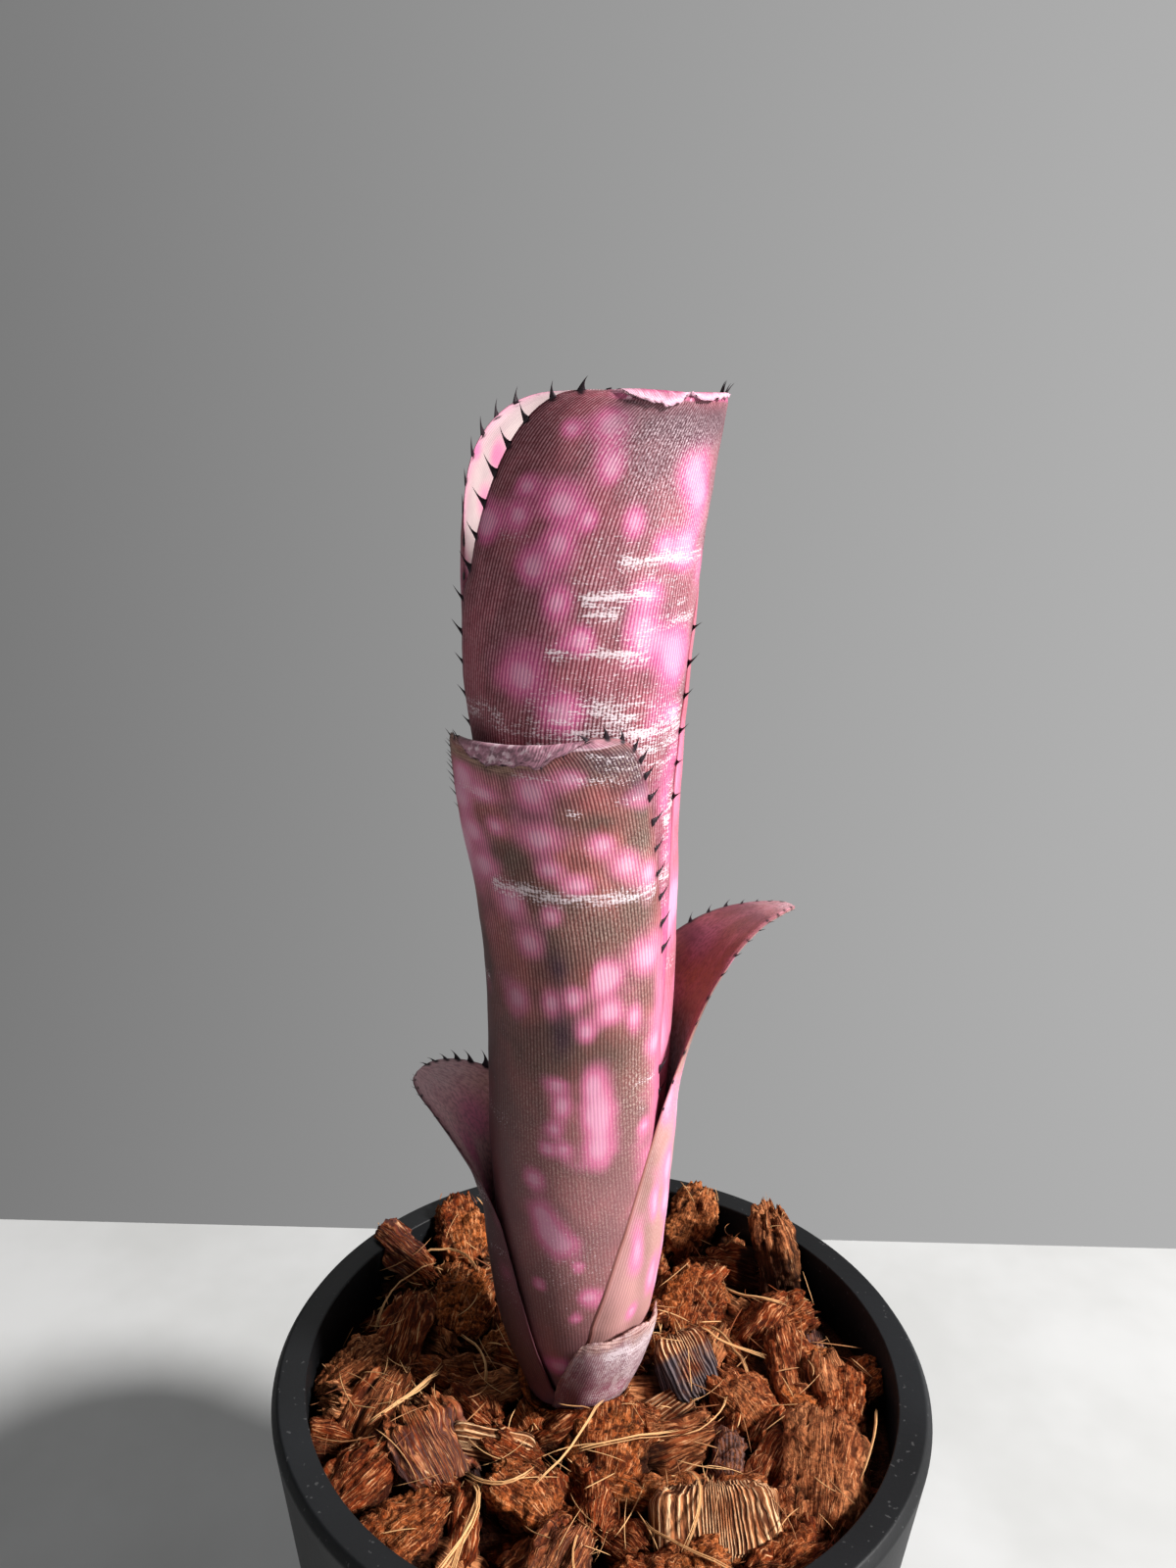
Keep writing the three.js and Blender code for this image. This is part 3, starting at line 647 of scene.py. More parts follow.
def leafFinish(look):
    # veins are a cosine of the vein count with narrow furrows; the ridges carry pale dots. Blots, olive and violet
    # patches, silver scurf and dry stretches are mixed in by their amounts, each broken up by noise of its own. A
    # painted shade multiplies the colour on the side of the tube away from the key light
    finish = Finish(look["name"], {
        "Specular IOR Level": 0.26, "Sheen Weight": look["sheen"], "Sheen Roughness": 0.35,
        "Sheen Tint": (255, 214, 226),
    })
    step, cover = finish.step, finish.cover
    vein, up, blot, band, olive, violet, veil = finish.values("vein", "up", "blot", "band", "olive", "violet", "veil")
    inside, dark, dry, rim, lip, fringe, paintedShade = finish.values("inside", "thorn", "dry", "rim", "lip", "fringe", "paintedShade")
    drift, patch, dots, flakes, mottle, streak, fibrous, sway, fine = (
        finish.noise(finish.vector(vein * wide, up * tall, offset), 1.0, detail, roughness)
        for wide, tall, offset, detail, roughness in grains.values()
    )
    crisp = step(up, *look["crisp"])
    ridge = (vein * (2 * math.pi) + sway * 2.0).cosine() * 0.5 + 0.5
    furrow = (1 - ridge) ** 2.4

    rosy = step(blot + (patch - 0.5) * 0.2, 0.05, 0.8)
    rose = cover(look["rose"], (step(blot, 0.66, 1.0) * 0.6, look["blush"]))
    colour = cover(
        look["deep"],
        (step(drift + (patch - 0.5) * 0.3, 0.36, 0.64), look["warm"]),
        ((1 - crisp) * 0.9, look["low"]),
        (olive * step(patch, 0.2, 0.55, 0.6, 1.0), look["olive"]),
        (rosy * (crisp * 0.12 + 0.82), rose),
        (step(mottle * 0.5 + patch * 0.5, 0.46, 0.58) * look.get("mottled", 0.0), look["veil"]),
        (violet, look["violet"]),
    )
    # painted shade: the colour is multiplied by a dark tint on the side of the tube away from the key light
    shade = cover((255, 255, 255), (paintedShade, look["paintedShade"]))
    colour = finish.node("ShaderNodeVectorMath", {"operation": "MULTIPLY"}, {0: colour, 1: shade})

    plain, light, shadow = look["lining"]
    lining = cover(
        plain,
        (step(drift, 0.35, 0.65), light),
        (olive * step(patch, 0.25, 0.6, 0.5, 1.0) * 0.9, look["liningOlive"]),
        (step(blot, 0.1, 0.95) * look["liningBlots"], look["rose"]),
        (veil * step(patch, 0.3, 0.6, 0.4, 0.9), look["liningVeil"]),
        (step(mottle, 0.42, 0.62) * look.get("liningMottle", 0.0), shadow),
        (violet * 0.8, look["violet"]),
        (rim * look["liningRim"], look["rimTone"]),
        (furrow * 0.3, shadow),
    )
    papery = cover(look["dry"][0], (step(fibrous, 0.38, 0.62), look["dry"][1]))
    plain, light, shadow = look["lip"]
    rolled = cover(
        plain,
        (step(mottle, 0.44, 0.64) * 0.8, shadow),
        (step(patch * 0.5 + mottle * 0.5, 0.47, 0.37) * 0.8, light),
        (fringe * step(flakes, 0.3, 0.55, 0.4, 0.9), light),
    )

    pale = ridge * step(dots, 0.34, 0.64, 0.4, 1.0) * step(patch, 0.3, 0.6, 0.55, 1.0)
    pale = pale * (1 - violet * 0.55) * (1 - olive * 0.35)
    bright = band * step(streak, 0.36, 0.56, 0.35, 1.0)
    scurf = step(flakes + bright * 0.36 + ridge * 0.07, 0.66 + look["bare"], 0.78 + look["bare"])
    edged = step(rim, 0.5, 0.85) * step(up, *look.get("edgeRise", (-30, -29)))
    colour = cover(
        colour,
        (pale * crisp * (1 - paintedShade * 0.7) * look["veinShare"], look["veinPale"]),
        (furrow * crisp * (0.68 - blot * 0.32), look["veinDark"]),
        (veil * step(fine, 0.44, 0.64) * (ridge * 0.5 + 0.25), look["veil"]),
        (scurf * 0.8, look["silver"]),
        (edged * look["edgeShare"], look["edge"]),
        (inside, lining),
        (dry * step(streak, 0.25, 0.6, 0.4, 1.0), papery),
        (lip, rolled),
        (step(dark, 0.12, 0.8), look["thorn"]),
    )
    finish.bump(ridge * (crisp * 0.4 + 0.15) + scurf * 0.6 + dots * 0.25, 0.4, 0.00012)
    return finish.feed({"Base Color": colour, "Roughness": look["rough"] + scurf * 0.25 + patch * 0.08})


def sheetQuads(rows, width):
    # a grid's two faces, stored one after the other, and the strips that close its four edges
    count = rows * width
    quads = gridQuads(rows, width)
    j = np.arange(width - 1)[:, None]
    i = np.arange(rows - 1)[:, None] * width
    return np.concatenate([
        quads, quads[:, ::-1] + count, j + [0, count, count + 1, 1], count - width + j + [0, 1, count + 1, count],
        i + [0, width, width + count, count], i + width - 1 + [0, count, width + count, width],
    ])


def leafMarkings(leaf, rise, across, height, azimuth, radius):
    # how much of each marking a point has
    draw = np.random.default_rng(leaf["seed"])
    spread = marking["spread"]
    wobble = noiseAlong(azimuth * 0.045, height * 0.2, 31, 3, 0.6)
    ripple = layeredNoise(np.stack([azimuth * 0.09, 0 * height, height * 0.2], -1), 37, 3)
    blots = np.concatenate([leaf["blots"], scatteredBlots(draw, *leaf["moreBlots"])]) * [1, 1, spread, spread, 1]
    bands = np.concatenate([leaf["bands"], scatteredBands(draw, *leaf["moreBands"])])
    covers = {"blot": blots, "olive": leaf["olives"], "violet": leaf.get("violets", []), "veil": leaf.get("veils", [])}
    amounts = {name: blotAmount(patches, azimuth, height, radius, wobble) for name, patches in covers.items()}
    lip = smooth(rise, 1.12, 1.3) * foldedAmount(leaf, across * marginAngle(leaf, across, height))
    # painted shade: the side of the tube away from the key light is darkened, fading out above a given height
    depth, fadeFrom, fadeTo = leaf.get("shaded", (0, 0, 1))
    shadeSide = (1 - smooth(azimuth, 182, 280)) * smooth(azimuth, 90, 150)
    amounts["band"] = bandAmount(bands, azimuth, height, ripple)
    amounts["dry"] = leaf["dryness"](azimuth, height, rise, ripple) if "dryness" in leaf else 0 * height
    amounts["lip"] = lip
    amounts["fringe"] = lip * (smooth(rise, 1.55, 1.9) if leaf.get("paleTeeth") else 1 - smooth(rise, 1.2, 1.45))
    amounts["paintedShade"] = depth * shadeSide * (1 - smooth(height, fadeFrom, fadeTo))
    return amounts


def leafThorns(leaf):
    # both margins' thorns, their bases, and how far each one's dark base reaches
    parts, bases, reaches = [], [], []
    for side in (-1, 1):
        place, towardTip, facing, travelled, size = thornPlaces(leaf, side)
        raised = leaf.get("thornRaise", (0.1, 0.1))[side > 0]
        parts.append(thornMesh(place, towardTip, facing, travelled, size, raised, side, leaf["seed"] + side))
        bases.append(place - np.cross(towardTip, facing) * side * 0.2)
        reaches.append(thorn["shade"] * size + 0.08)
    return parts, np.concatenate(bases), np.concatenate(reaches)


def makeLeaf(leaf):
    # a grid over rise and across on each face, half the thickness off the middle along the normal, joined round
    # the edge; the blade thins towards its margins
    low = 1 - (1 - np.linspace(0, 1, leaf["rows"])) ** 1.25
    rises = np.concatenate([low, 1 + np.linspace(0, 1, leaf["lipRows"] + 1)[1:]])
    rise, across = np.meshgrid(rises, np.linspace(-1, 1, leaf["columns"]), indexing="ij")
    middle = leafPoint(leaf, rise, across)
    normal = leafNormal(leaf, rise, across)
    middle = middle + normal * (plant["uneven"] * layeredNoise(middle * 0.14, 3, 3))[..., None]
    axis = tubeAt(middle[..., 2], 0)[0]
    azimuth = np.degrees(np.arctan2(middle[..., 1] - plant["axisY"], middle[..., 0] - axis)) % 360
    height = lerp(leaf["foot"], leaf["top"], np.minimum(rise, 1)) if "arch" in leaf else middle[..., 2]
    radius = tubeAt(height, leaf["layer"])[1]
    full = np.radians(max(leaf["clockwise"][1], leaf["clockwise"][4] * 0.6))
    toMargin = (1 - np.abs(across)) * full * radius
    thickness = plant["thickness"] * lerp(0.2, 1, smooth(toMargin, 0, 2.6)) * lerp(1, 0.6, smooth(rise, 1.1, 1.9))
    faces = [(middle + normal * (sign * thickness / 2)[..., None]).reshape(-1, 3) for sign in (1, -1)]
    parts = [(np.concatenate(faces), sheetQuads(*rise.shape), np.zeros((0, 3), int))]

    veins = 2 * math.pi * plant["veinRadius"] / plant["veinPitch"] / 360
    sideAngle = np.where(across < 0, leaf["clockwise"][1], leaf["anticlockwise"][1])
    amounts = leafMarkings(leaf, rise, across, height, azimuth, radius)
    amounts.update(vein=across * sideAngle * veins, up=height, rim=np.exp(-toMargin / 1.6), thorn=0 * height)
    if "thorns" in leaf:
        thorns, bases, reaches = leafThorns(leaf)
        parts += thorns
        gap = np.linalg.norm(middle.reshape(-1, 1, 3) - bases, axis=-1) / reaches
        edge = np.minimum(toMargin, np.where(rise > 1, (2 - rise) * 3, 9))
        edgeDark = 0.3 * np.exp(-((edge / 0.35) ** 2)) * (height > leaf["top"] * 0.75)
        amounts["thorn"] = np.maximum(np.exp(-(np.min(gap, axis=1).reshape(rise.shape) ** 2)), edgeDark)

    starts = np.cumsum([0] + [len(points) for points, quads, fans in parts])
    points, quads, fans = (
        np.concatenate([part[index] + (start if index else 0) for part, start in zip(parts, starts)])
        for index in range(3)
    )
    spikes = len(points) - 2 * rise.size
    values = {
        name: np.concatenate([amount.ravel(), amount.ravel(), np.full(spikes, float(name == "thorn"))])
        for name, amount in amounts.items()
    }
    values["inside"] = np.concatenate([np.zeros(rise.size), np.ones(rise.size), np.zeros(spikes)])
    made = addMesh(leaf["piece"], points, quads, fans, values, finish=leafFinish(leaf["look"]))
    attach(made, "root")
    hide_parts(leaf["node"])


youngLook = {
    "name": "youngLeafSkin", "deep": (112, 44, 54), "warm": (152, 60, 76), "olive": (104, 70, 62),
    # the last colour in the next row is the dark tint of the painted shade on the side away from the key light
    "violet": (66, 42, 52), "rose": (222, 88, 154), "blush": (248, 184, 216), "paintedShade": (112, 72, 78),
    "low": (128, 56, 68), "rimTone": (222, 88, 154),
    "veinPale": (240, 186, 196), "veinDark": (66, 20, 32), "veinShare": 0.48, "crisp": (0, 40, 0.6, 1.0),
    "silver": (236, 220, 226), "veil": (226, 200, 208), "bare": 0.02, "edge": (120, 40, 66), "edgeShare": 0.25,
    "lining": ((176, 158, 160), (200, 182, 180), (150, 122, 128)), "liningBlots": 0.7, "liningRim": 0.5,
    "liningOlive": (190, 160, 160), "liningVeil": (236, 214, 216),
    "lip": ((182, 90, 126), (232, 186, 204), (140, 70, 96)), "dry": ((120, 84, 80), (210, 180, 172)),
    "thorn": (30, 14, 24), "rough": 0.48, "sheen": 0.04,
}
backLook = dict(
    youngLook, name="backLeafSkin", warm=(202, 108, 130), deep=(174, 84, 104), rose=(220, 122, 160),
    lining=((130, 22, 44), (176, 44, 70), (80, 14, 28)), liningBlots=0.3, liningRim=0.1,
    edge=(140, 26, 56), edgeShare=0.92, edgeRise=(84, 102), crisp=(0, 40, 0.35, 0.5), low=(204, 112, 132),
    rimTone=(120, 24, 44),
)
frontLook = dict(
    youngLook, name="frontLeafSkin", deep=(112, 50, 48), warm=(182, 82, 84), olive=(72, 54, 42),
    rose=(222, 114, 160), blush=(247, 188, 218), veinPale=(236, 190, 180), veinDark=(58, 24, 28),
    lining=((180, 148, 158), (214, 184, 192), (130, 100, 112)), liningBlots=0.5, liningRim=0.9,
    lip=((186, 132, 150), (236, 214, 222), (112, 84, 94)), low=(143, 98, 104), rimTone=(140, 84, 96),
    dry=((84, 60, 48), (176, 140, 120)), veinShare=0.42,
    edge=(180, 90, 110), edgeShare=0.2, veil=(222, 204, 190), crisp=(36, 84, 0.16, 1.0),
    violet=(56, 24, 48),
)
rightLook = dict(
    frontLook, name="rightLeafSkin", deep=(166, 118, 106), warm=(208, 150, 148), rose=(226, 126, 174),
    lining=((160, 90, 82), (198, 114, 124), (110, 56, 60)), liningBlots=0.35, veinShare=0.3, liningMottle=0.55,
    edge=(156, 84, 70), edgeShare=0.6, crisp=(0, 60, 0.25, 0.5), liningOlive=(142, 84, 50),
    liningVeil=(214, 178, 188), low=(204, 152, 150), violet=(92, 50, 66), blush=(244, 192, 224),
)
leftLook = dict(
    frontLook, name="leftLeafSkin", deep=(108, 60, 68), warm=(140, 78, 92),
    # the lining colours are partly the inner face's own pink and partly painted light, made paler for the light
    # bounced onto this shaded face
    lining=((226, 164, 174), (246, 194, 200), (150, 94, 106)), liningBlots=0.8, veinShare=0.25, liningMottle=0.5,
    edge=(84, 40, 50), edgeShare=0.6, crisp=(0, 60, 0.3, 0.5), liningOlive=(176, 128, 90),
    liningVeil=(226, 200, 204), rose=(240, 120, 170), low=(116, 72, 80), rimTone=(84, 40, 50),
)
oldLook = dict(
    frontLook, name="oldLeafSkin", deep=(124, 74, 90), warm=(178, 132, 142), olive=(140, 118, 104),
    rose=(166, 82, 114), blush=(190, 124, 150), veinPale=(236, 216, 216), veinDark=(106, 62, 74),
    lining=((96, 70, 66), (130, 100, 92), (70, 50, 46)), liningBlots=0.2,
    dry=((116, 70, 60), (214, 176, 166)), rough=0.55, bare=-0.03, edge=(110, 62, 56), edgeShare=0.5,
    crisp=(-10, 20, 0.5, 0.7), low=(146, 102, 114), violet=(92, 44, 62), veil=(220, 200, 204), mottled=0.6,
)


def strong(blots, strength=1.0):
    # every blot with the same strength
    return np.array([blot + (strength,) for blot in blots], float)


# A leaf: layer 0 is the innermost, midrib is its azimuth, foot and top are heights. Each margin, clockwise and
# anticlockwise, has its angle at the corner, its full angle, how far below the top that is reached and with which
# power, and its angle at the foot. lip: first and last angle, length, and curl in degrees; lobes scale the length.
# tuck: first and last angle, depth, lowest and highest height, and their fades. flare: side, width, lowest and
# highest height, distance. arch: height where it starts, lean in degrees, power, and how much flatter the tip is.
# thorns: the lowest height on either margin, the first one's distance from the tip, and the spacing. shaded: depth
# of the shade painted on the leaf's side away from the key light, and the heights where it starts and ends its fade.
# moreBlots and moreBands: a count and the ranges of the draws.
leaves = [
    {
        "piece": "tall_inner_leaf", "node": "leaf_innermost", "slot": "leaf_young", "look": youngLook, "seed": 3,
        "layer": 0, "midrib": 5, "foot": -3, "top": 149.9,
        "clockwise": (100, 177, 42, 0.46, 176), "anticlockwise": (102, 190, 19, 0.5, 172),
        "tuck": (150, 168, 1.05, 20, 116, 12, 8), "lip": (-88, -8, 2.0, 172), "ragged": 0.13, "tooth": 0.5,
        "fold": 0.35,
        "lobes": (
            (-92, -86, -79, -74, -69, -64, -60, -57, -54, -51, -46, -40, -32, -20, -8),
            (0.1, 0.3, 0.65, 0.9, 1.1, 1.15, 1.1, 0.7, 0.25, 0.6, 0.8, 0.8, 0.65, 0.45, 0.1),
        ),
        "fades": (4, 6), "paleTeeth": True, "tipThorn": 2.1, "sparse": 55,
        "calm": (-92, 118), "shaded": (0.28, 106, 124), "lipThorns": 1.0, "tipReach": 2.4, "thornRaise": (0.5, 0.1),
        "flare": (-1, 4, 106, 124, 0.6),
        "thorns": (106, 112, 0.8, 4.5), "rows": 150, "lipRows": 16, "columns": 150,
        "blots": np.concatenate([strong([
            (277, 146.2, 2.1, 1.9), (261, 145.5, 1.1, 1.0), (279, 141.3, 1.7, 2.4), (244, 138.7, 1.1, 1.0),
            (241, 135.3, 1.9, 1.8), (260, 136.7, 2.8, 2.4), (272, 135.1, 1.3, 1.7), (292, 134.8, 1.6, 2.3),
            (260, 132.1, 2.2, 2.4), (249, 129.1, 2.1, 2.5), (261, 124.9, 2.1, 2.4), (310, 131.8, 2.2, 1.8),
            (323, 131.9, 2.8, 2.1), (322, 140.8, 2.8, 3.4), (330, 137.9, 2.8, 2.7), (303, 120.9, 2.4, 3.0),
            (326, 117.2, 3.4, 4.1), (273, 120.6, 1.4, 1.6), (245, 115.2, 3.4, 3.3), (264, 111.0, 3.3, 2.7),
            (222, 133.7, 2.4, 2.4), (331, 109.6, 3.0, 1.8), (321, 130.2, 3.0, 1.8), (305, 126.0, 2.4, 1.9),
        ]), strong([
            (340, 103, 3.0, 3.2), (332, 97, 2.2, 3), (342, 90, 3.0, 4), (336, 80, 3.0, 5), (344, 70, 3.0, 5),
        ], 0.6)]),
        "moreBlots": (26, (340, 580), (10, 146), (1.0, 3.4)),
        "bands": [
            (132.4, 226, 252, 0.35, 0.6), (130.2, 283, 350, 0.85, 0.55), (128.6, 296, 312, 0.6, 0.7),
            (125.7, 268, 311, 1.0, 0.5), (123.5, 268, 293, 0.9, 0.5), (122.2, 295, 352, 0.65, 0.7),
            (118.6, 252, 313, 0.8, 0.5), (117.2, 287, 314, 0.75, 0.5), (119.8, 292, 314, 0.5, 0.4),
            (109.3, 186, 236, 0.6, 0.9), (108.0, 221, 252, 0.5, 0.8), (110.4, 272, 308, 0.8, 0.5),
            (108.6, 283, 352, 0.85, 0.45), (107.0, 294, 356, 0.85, 0.5), (109.0, 252, 270, 0.7, 0.5),
            (112.3, 285, 312, 0.6, 0.45), (124.4, 318, 338, 0.6, 0.5), (101.8, 318, 340, 0.6, 0.6),
            (99, 330, 352, 0.6, 0.8), (94.0, 326, 345, 0.9, 0.7), (91.5, 326, 343, 0.8, 0.6),
            (88.8, 326, 345, 0.6, 0.6), (129, 262, 350, 0.3, 6), (108, 240, 352, 0.45, 5),
            (111.4, 262, 300, 0.7, 0.5), (107.8, 262, 300, 0.8, 0.6), (96, 322, 350, 0.9, 0.8),
            (86, 322, 345, 0.8, 0.9), (82, 322, 345, 0.6, 0.6), (127.3, 262, 330, 0.5, 0.4),
            (120.8, 268, 320, 0.5, 0.4), (105.2, 290, 352, 0.7, 0.5), (103.6, 300, 352, 0.6, 0.5),
            (116, 262, 300, 0.4, 0.5), (97, 330, 350, 0.7, 0.5),
        ],
        "moreBands": (16, (0, 160), (15, 140)), "olives": [(300, 60, 20, 40, 0.4)],
        "veils": [
            (308, 144, 9, 4, 1), (298, 140, 7, 5, 0.9), (320, 136, 7, 7, 0.7), (300, 128, 12, 8, 0.4),
            (345, 132, 3, 16, 0.6),
        ],
        "violets": [
            (304, 146, 8, 3.2, 1), (294, 141.5, 4, 3.4, 0.7), (332, 146.6, 9, 2.6, 1), (284, 148.6, 4, 1.6, 0.8),
        ],
    },
    {
        "piece": "back_leaf", "node": "leaf_back", "slot": "leaf_young", "look": backLook, "seed": 7,
        "layer": 1, "midrib": 75, "foot": -5, "top": 131,
        "clockwise": (45, 96, 66, 0.24, 155), "anticlockwise": (45, 105, 46, 0.5, 155),
        "lip": (-40, 40, 2.4, 150), "thornRaise": (0.6, 0.1),
        "thorns": (96, 98, 4.6, 4.6), "bareMargin": {-1: (122.5, 130)}, "rows": 110, "lipRows": 10, "columns": 96,
        "blots": strong([(338, 60, 3, 6), (336, 80, 3, 7), (345, 100, 3, 6)]),
        "moreBlots": (58, (-10, 170), (5, 126), (1.2, 3.6), (0.6, 1)),
        "bands": [(72, 330, 358, 0.5, 0.6)], "moreBands": (34, (0, 150), (15, 125)),
        "olives": [
            (60, 60, 20, 30, 0.5), (100, 104, 12, 9, 0.8), (70, 92, 9, 8, 0.6), (118, 76, 9, 13, 0.8),
            (86, 44, 12, 11, 0.7), (50, 114, 9, 7, 0.7), (135, 104, 7, 9, 0.6),
        ],
        "violets": [(92, 84, 5, 6, 0.5), (74, 56, 4, 7, 0.4), (112, 116, 7, 3, 0.6)],
    },
    {
        "piece": "front_leaf", "node": "leaf_front", "slot": "leaf_mature", "look": frontLook, "seed": 11,
        "layer": 2, "midrib": 192, "foot": -7, "top": 104.8, "topRise": 3,
        "clockwise": (4, 95, 60, 1.15, 150), "anticlockwise": (88, 136, 38, 0.27, 175),
        "lip": (14, 82, 3.7, 175), "ragged": 0.16, "fold": 0.4, "fades": (15, 18), "lipThorns": 0.6,
        "lobes": ((0, 10, 18, 30, 48, 63, 74, 84, 92), (0.25, 0.35, 0.55, 0.85, 0.95, 1.0, 0.75, 0.4, 0.15)),
        "crowd": 0.5, "bareMargin": {1: (57, 74)},
        "flare": (-1, 15, 84, 104, 1.1), "thornRaise": (0.75, 0.15), "shaded": (1, 72, 94),
        "thorns": (76, 50, 1.8, 3.9), "rows": 130, "lipRows": 18, "columns": 130,
        "blots": np.concatenate([strong([
            (204, 100.1, 3.0, 2.1), (220, 98.7, 2.6, 1.0), (250, 100.4, 2.2, 1.8), (269, 102.7, 2.0, 1.2),
            (306, 99.8, 2.6, 1.4), (228, 94.6, 2.0, 1.3), (253, 94.1, 2.3, 1.6),
            (284, 93.6, 1.8, 1.5), (257, 89.8, 1.8, 1.3), (296, 90.3, 2.3, 2.1), (271, 87.9, 2.0, 1.2),
            (310, 88.5, 2.5, 2.1), (233, 83.9, 2.2, 2.1), (256, 83.2, 1.3, 1.3), (242, 78.5, 2.0, 2.1),
            (307, 76.3, 2.9, 2.7), (283, 74.5, 2.1, 2.1), (190, 86.4, 3.4, 2.5), (253, 70.1, 1.6, 2.2),
            (265, 71.1, 1.3, 1.9), (282, 73.7, 1.6, 2.1), (285, 68.9, 2.0, 1.9), (272, 66.1, 1.3, 1.6),
            (300, 67.7, 1.2, 2.2), (317, 62.2, 1.4, 1.4), (231, 69.5, 2.2, 2.2), (277, 57.6, 1.9, 3.0),
            (277, 53.0, 1.6, 2.5), (281, 47.4, 1.9, 2.2), (259, 54.2, 1.5, 2.4), (256, 57.3, 2.0, 1.3),
            (255, 50.4, 1.3, 1.3), (251, 47.0, 1.2, 1.0), (261, 47.3, 1.3, 1.3), (242, 41.2, 1.6, 1.6),
            (247, 35.8, 2.2, 2.0), (258, 31.0, 2.2, 2.2), (312, 49.5, 1.2, 1.4), (271, 26.9, 0.9, 0.9),
            (243, 22.6, 1.2, 1.1), (278, 21.3, 1.8, 1.6), (270, 17.4, 0.8, 0.8), (256, 6.2, 2.2, 1.6),
            (198, 96.5, 3.4, 1.6), (208, 92.5, 3.0, 1.8), (196, 90, 3.0, 2.6), (214, 88, 2.6, 1.6),
            (282, 52, 2.3, 5.4), (250, 33, 2.6, 3.0),
        ]), strong([(248, 97, 3.2, 3.4), (222, 100.5, 4, 2.4), (212, 82, 3, 8)], 0.3),
            # the three tall blots on the right are partly the leaf's own pink and partly painted light, lightening the
            # strip beside the right leaf's blade that its shade darkens
            strong([(328, 54, 3.2, 14), (322, 70, 2.4, 9), (330, 30, 3, 12)], 0.65)]),
        "moreBlots": (16, (120, 200), (8, 98), (1.2, 3.2), (0.4, 0.8)),
        "bands": [
            (86.2, 216, 262, 0.75, 0.75), (86.0, 240, 322, 0.7, 0.8), (98.0, 262, 278, 0.6, 0.4),
            (102.4, 236, 314, 0.5, 0.4), (105.4, 272, 306, 0.6, 0.3), (104.0, 276, 312, 0.5, 0.3),
            (99.4, 279, 310, 0.45, 0.3), (98.4, 186, 232, 0.4, 0.5), (93.4, 266, 290, 0.3, 0.6),
            (57, 296, 324, 0.55, 0.5), (61.5, 296, 306, 0.5, 1.2), (52.5, 303, 314, 0.55, 1.0),
            (27, 240, 300, 0.22, 6),
        ],
        "moreBands": (8, (120, 170), (15, 98)),
        "olives": [
            (224, 90.5, 6, 3.4, 0.75), (236, 90.6, 5, 2.8, 0.85), (250, 97.4, 4.4, 1.8, 1), (283, 96.5, 5, 2.4, 1),
            (306, 97.4, 3, 2.4, 1), (306, 93.6, 4, 3.2, 1), (293, 105, 8, 2.4, 1), (307, 102, 4, 2.6, 1),
            (274, 102.5, 3, 1.6, 0.8), (284, 81.4, 7.5, 4.2, 0.9), (306, 84.6, 5, 4.6, 0.9), (258, 86, 5, 2.4, 0.7),
            (222, 103, 9, 1.6, 0.9), (265, 77.0, 6, 4.0, 0.8), (276, 72, 9, 5, 0.6), (284, 62, 7, 6, 0.9),
            (254, 61, 7, 5, 0.75), (262, 66.6, 5, 3.4, 0.8), (300, 56, 8, 8, 0.3), (262, 44, 10, 5, 0.25),
            (244, 55, 8, 8, 0.25), (262, 18, 12, 10, 0.25),
        ],
        "veils": [
            (294, 104, 6, 2.6, 0.5), (304, 91, 5, 6, 0.5), (280, 82, 8, 6, 0.4), (304, 56, 4, 8, 0.7),
            (280, 40, 10, 16, 0.25), (300, 72, 6, 8, 0.3), (268, 26, 9, 12, 0.25), (250, 50, 8, 14, 0.2),
        ],
        "violets": [
            (258, 75.5, 1.8, 3, 1), (258, 65, 1.8, 3.2, 1), (258, 70, 0.7, 2.4, 0.4), (268, 99.5, 3, 1.5, 0.4),
            (292, 105, 8, 2.6, 0.9), (306, 102, 6, 3.2, 0.85),
        ],
        "dryness": lambda azimuth, height, rise, ripple: (
            0.85 * smooth(height + 0.5 * ripple, 101.4, 103) * (1 - smooth(azimuth, 232, 266))
        ),
    },
    {
        "piece": "right_leaf", "node": "leaf_right", "slot": "leaf_mature", "look": rightLook, "seed": 17,
        "layer": 3, "midrib": 25, "foot": -9, "top": 86,
        "clockwise": (3, 104, 71, 0.85, 150), "anticlockwise": (3, 104, 71, 0.85, 150),
        "arch": (44, 100, 1.7, 1.6), "thorns": (50, 50, 2, 4.4), "rows": 110, "lipRows": 3, "columns": 80,
        # the last veil is painted light: it lightens the blade's inner face near its foot, which the blade itself
        # shades, standing in for light through the leaf
        "veils": [(25, 85.5, 9, 2.6, 0.9), (34, 82, 5, 3, 0.6), (330, 30, 6, 16, 0.4), (10, 52, 16, 7, 0.9)],
        "blots": strong([
            (331, 52.6, 1.8, 3.6), (338, 40.4, 1.9, 4.5), (311, 29.0, 1.2, 3.6), (340, 33.8, 2.0, 3.0),
            (345, 18.8, 1.6, 3.4), (312, 17.2, 1.0, 1.6), (324, 35.9, 0.9, 3.4), (330, 22, 1.2, 3.4), (352, 50, 3, 6),
            (350, 28, 2, 8),
        ]),
        "moreBlots": (22, (-10, 110), (5, 84), (1.2, 3.0)),
        "bands": [(66, 300, 60, 0.3, 0.8)], "moreBands": (8, (0, 60), (10, 80), (0.2, 0.5)),
        "olives": [(318, 34, 1.6, 18, 0.4), (322, 12, 3, 6, 0.3), (20, 64, 16, 9, 1)],
        "violets": [(42, 79, 5, 4, 1), (40, 71, 3.4, 3.6, 0.9), (46, 63, 3, 5, 0.7), (20, 80, 3, 1.6, 0.6)],
        "thornScale": (0.55, 0.85),
    },
    {
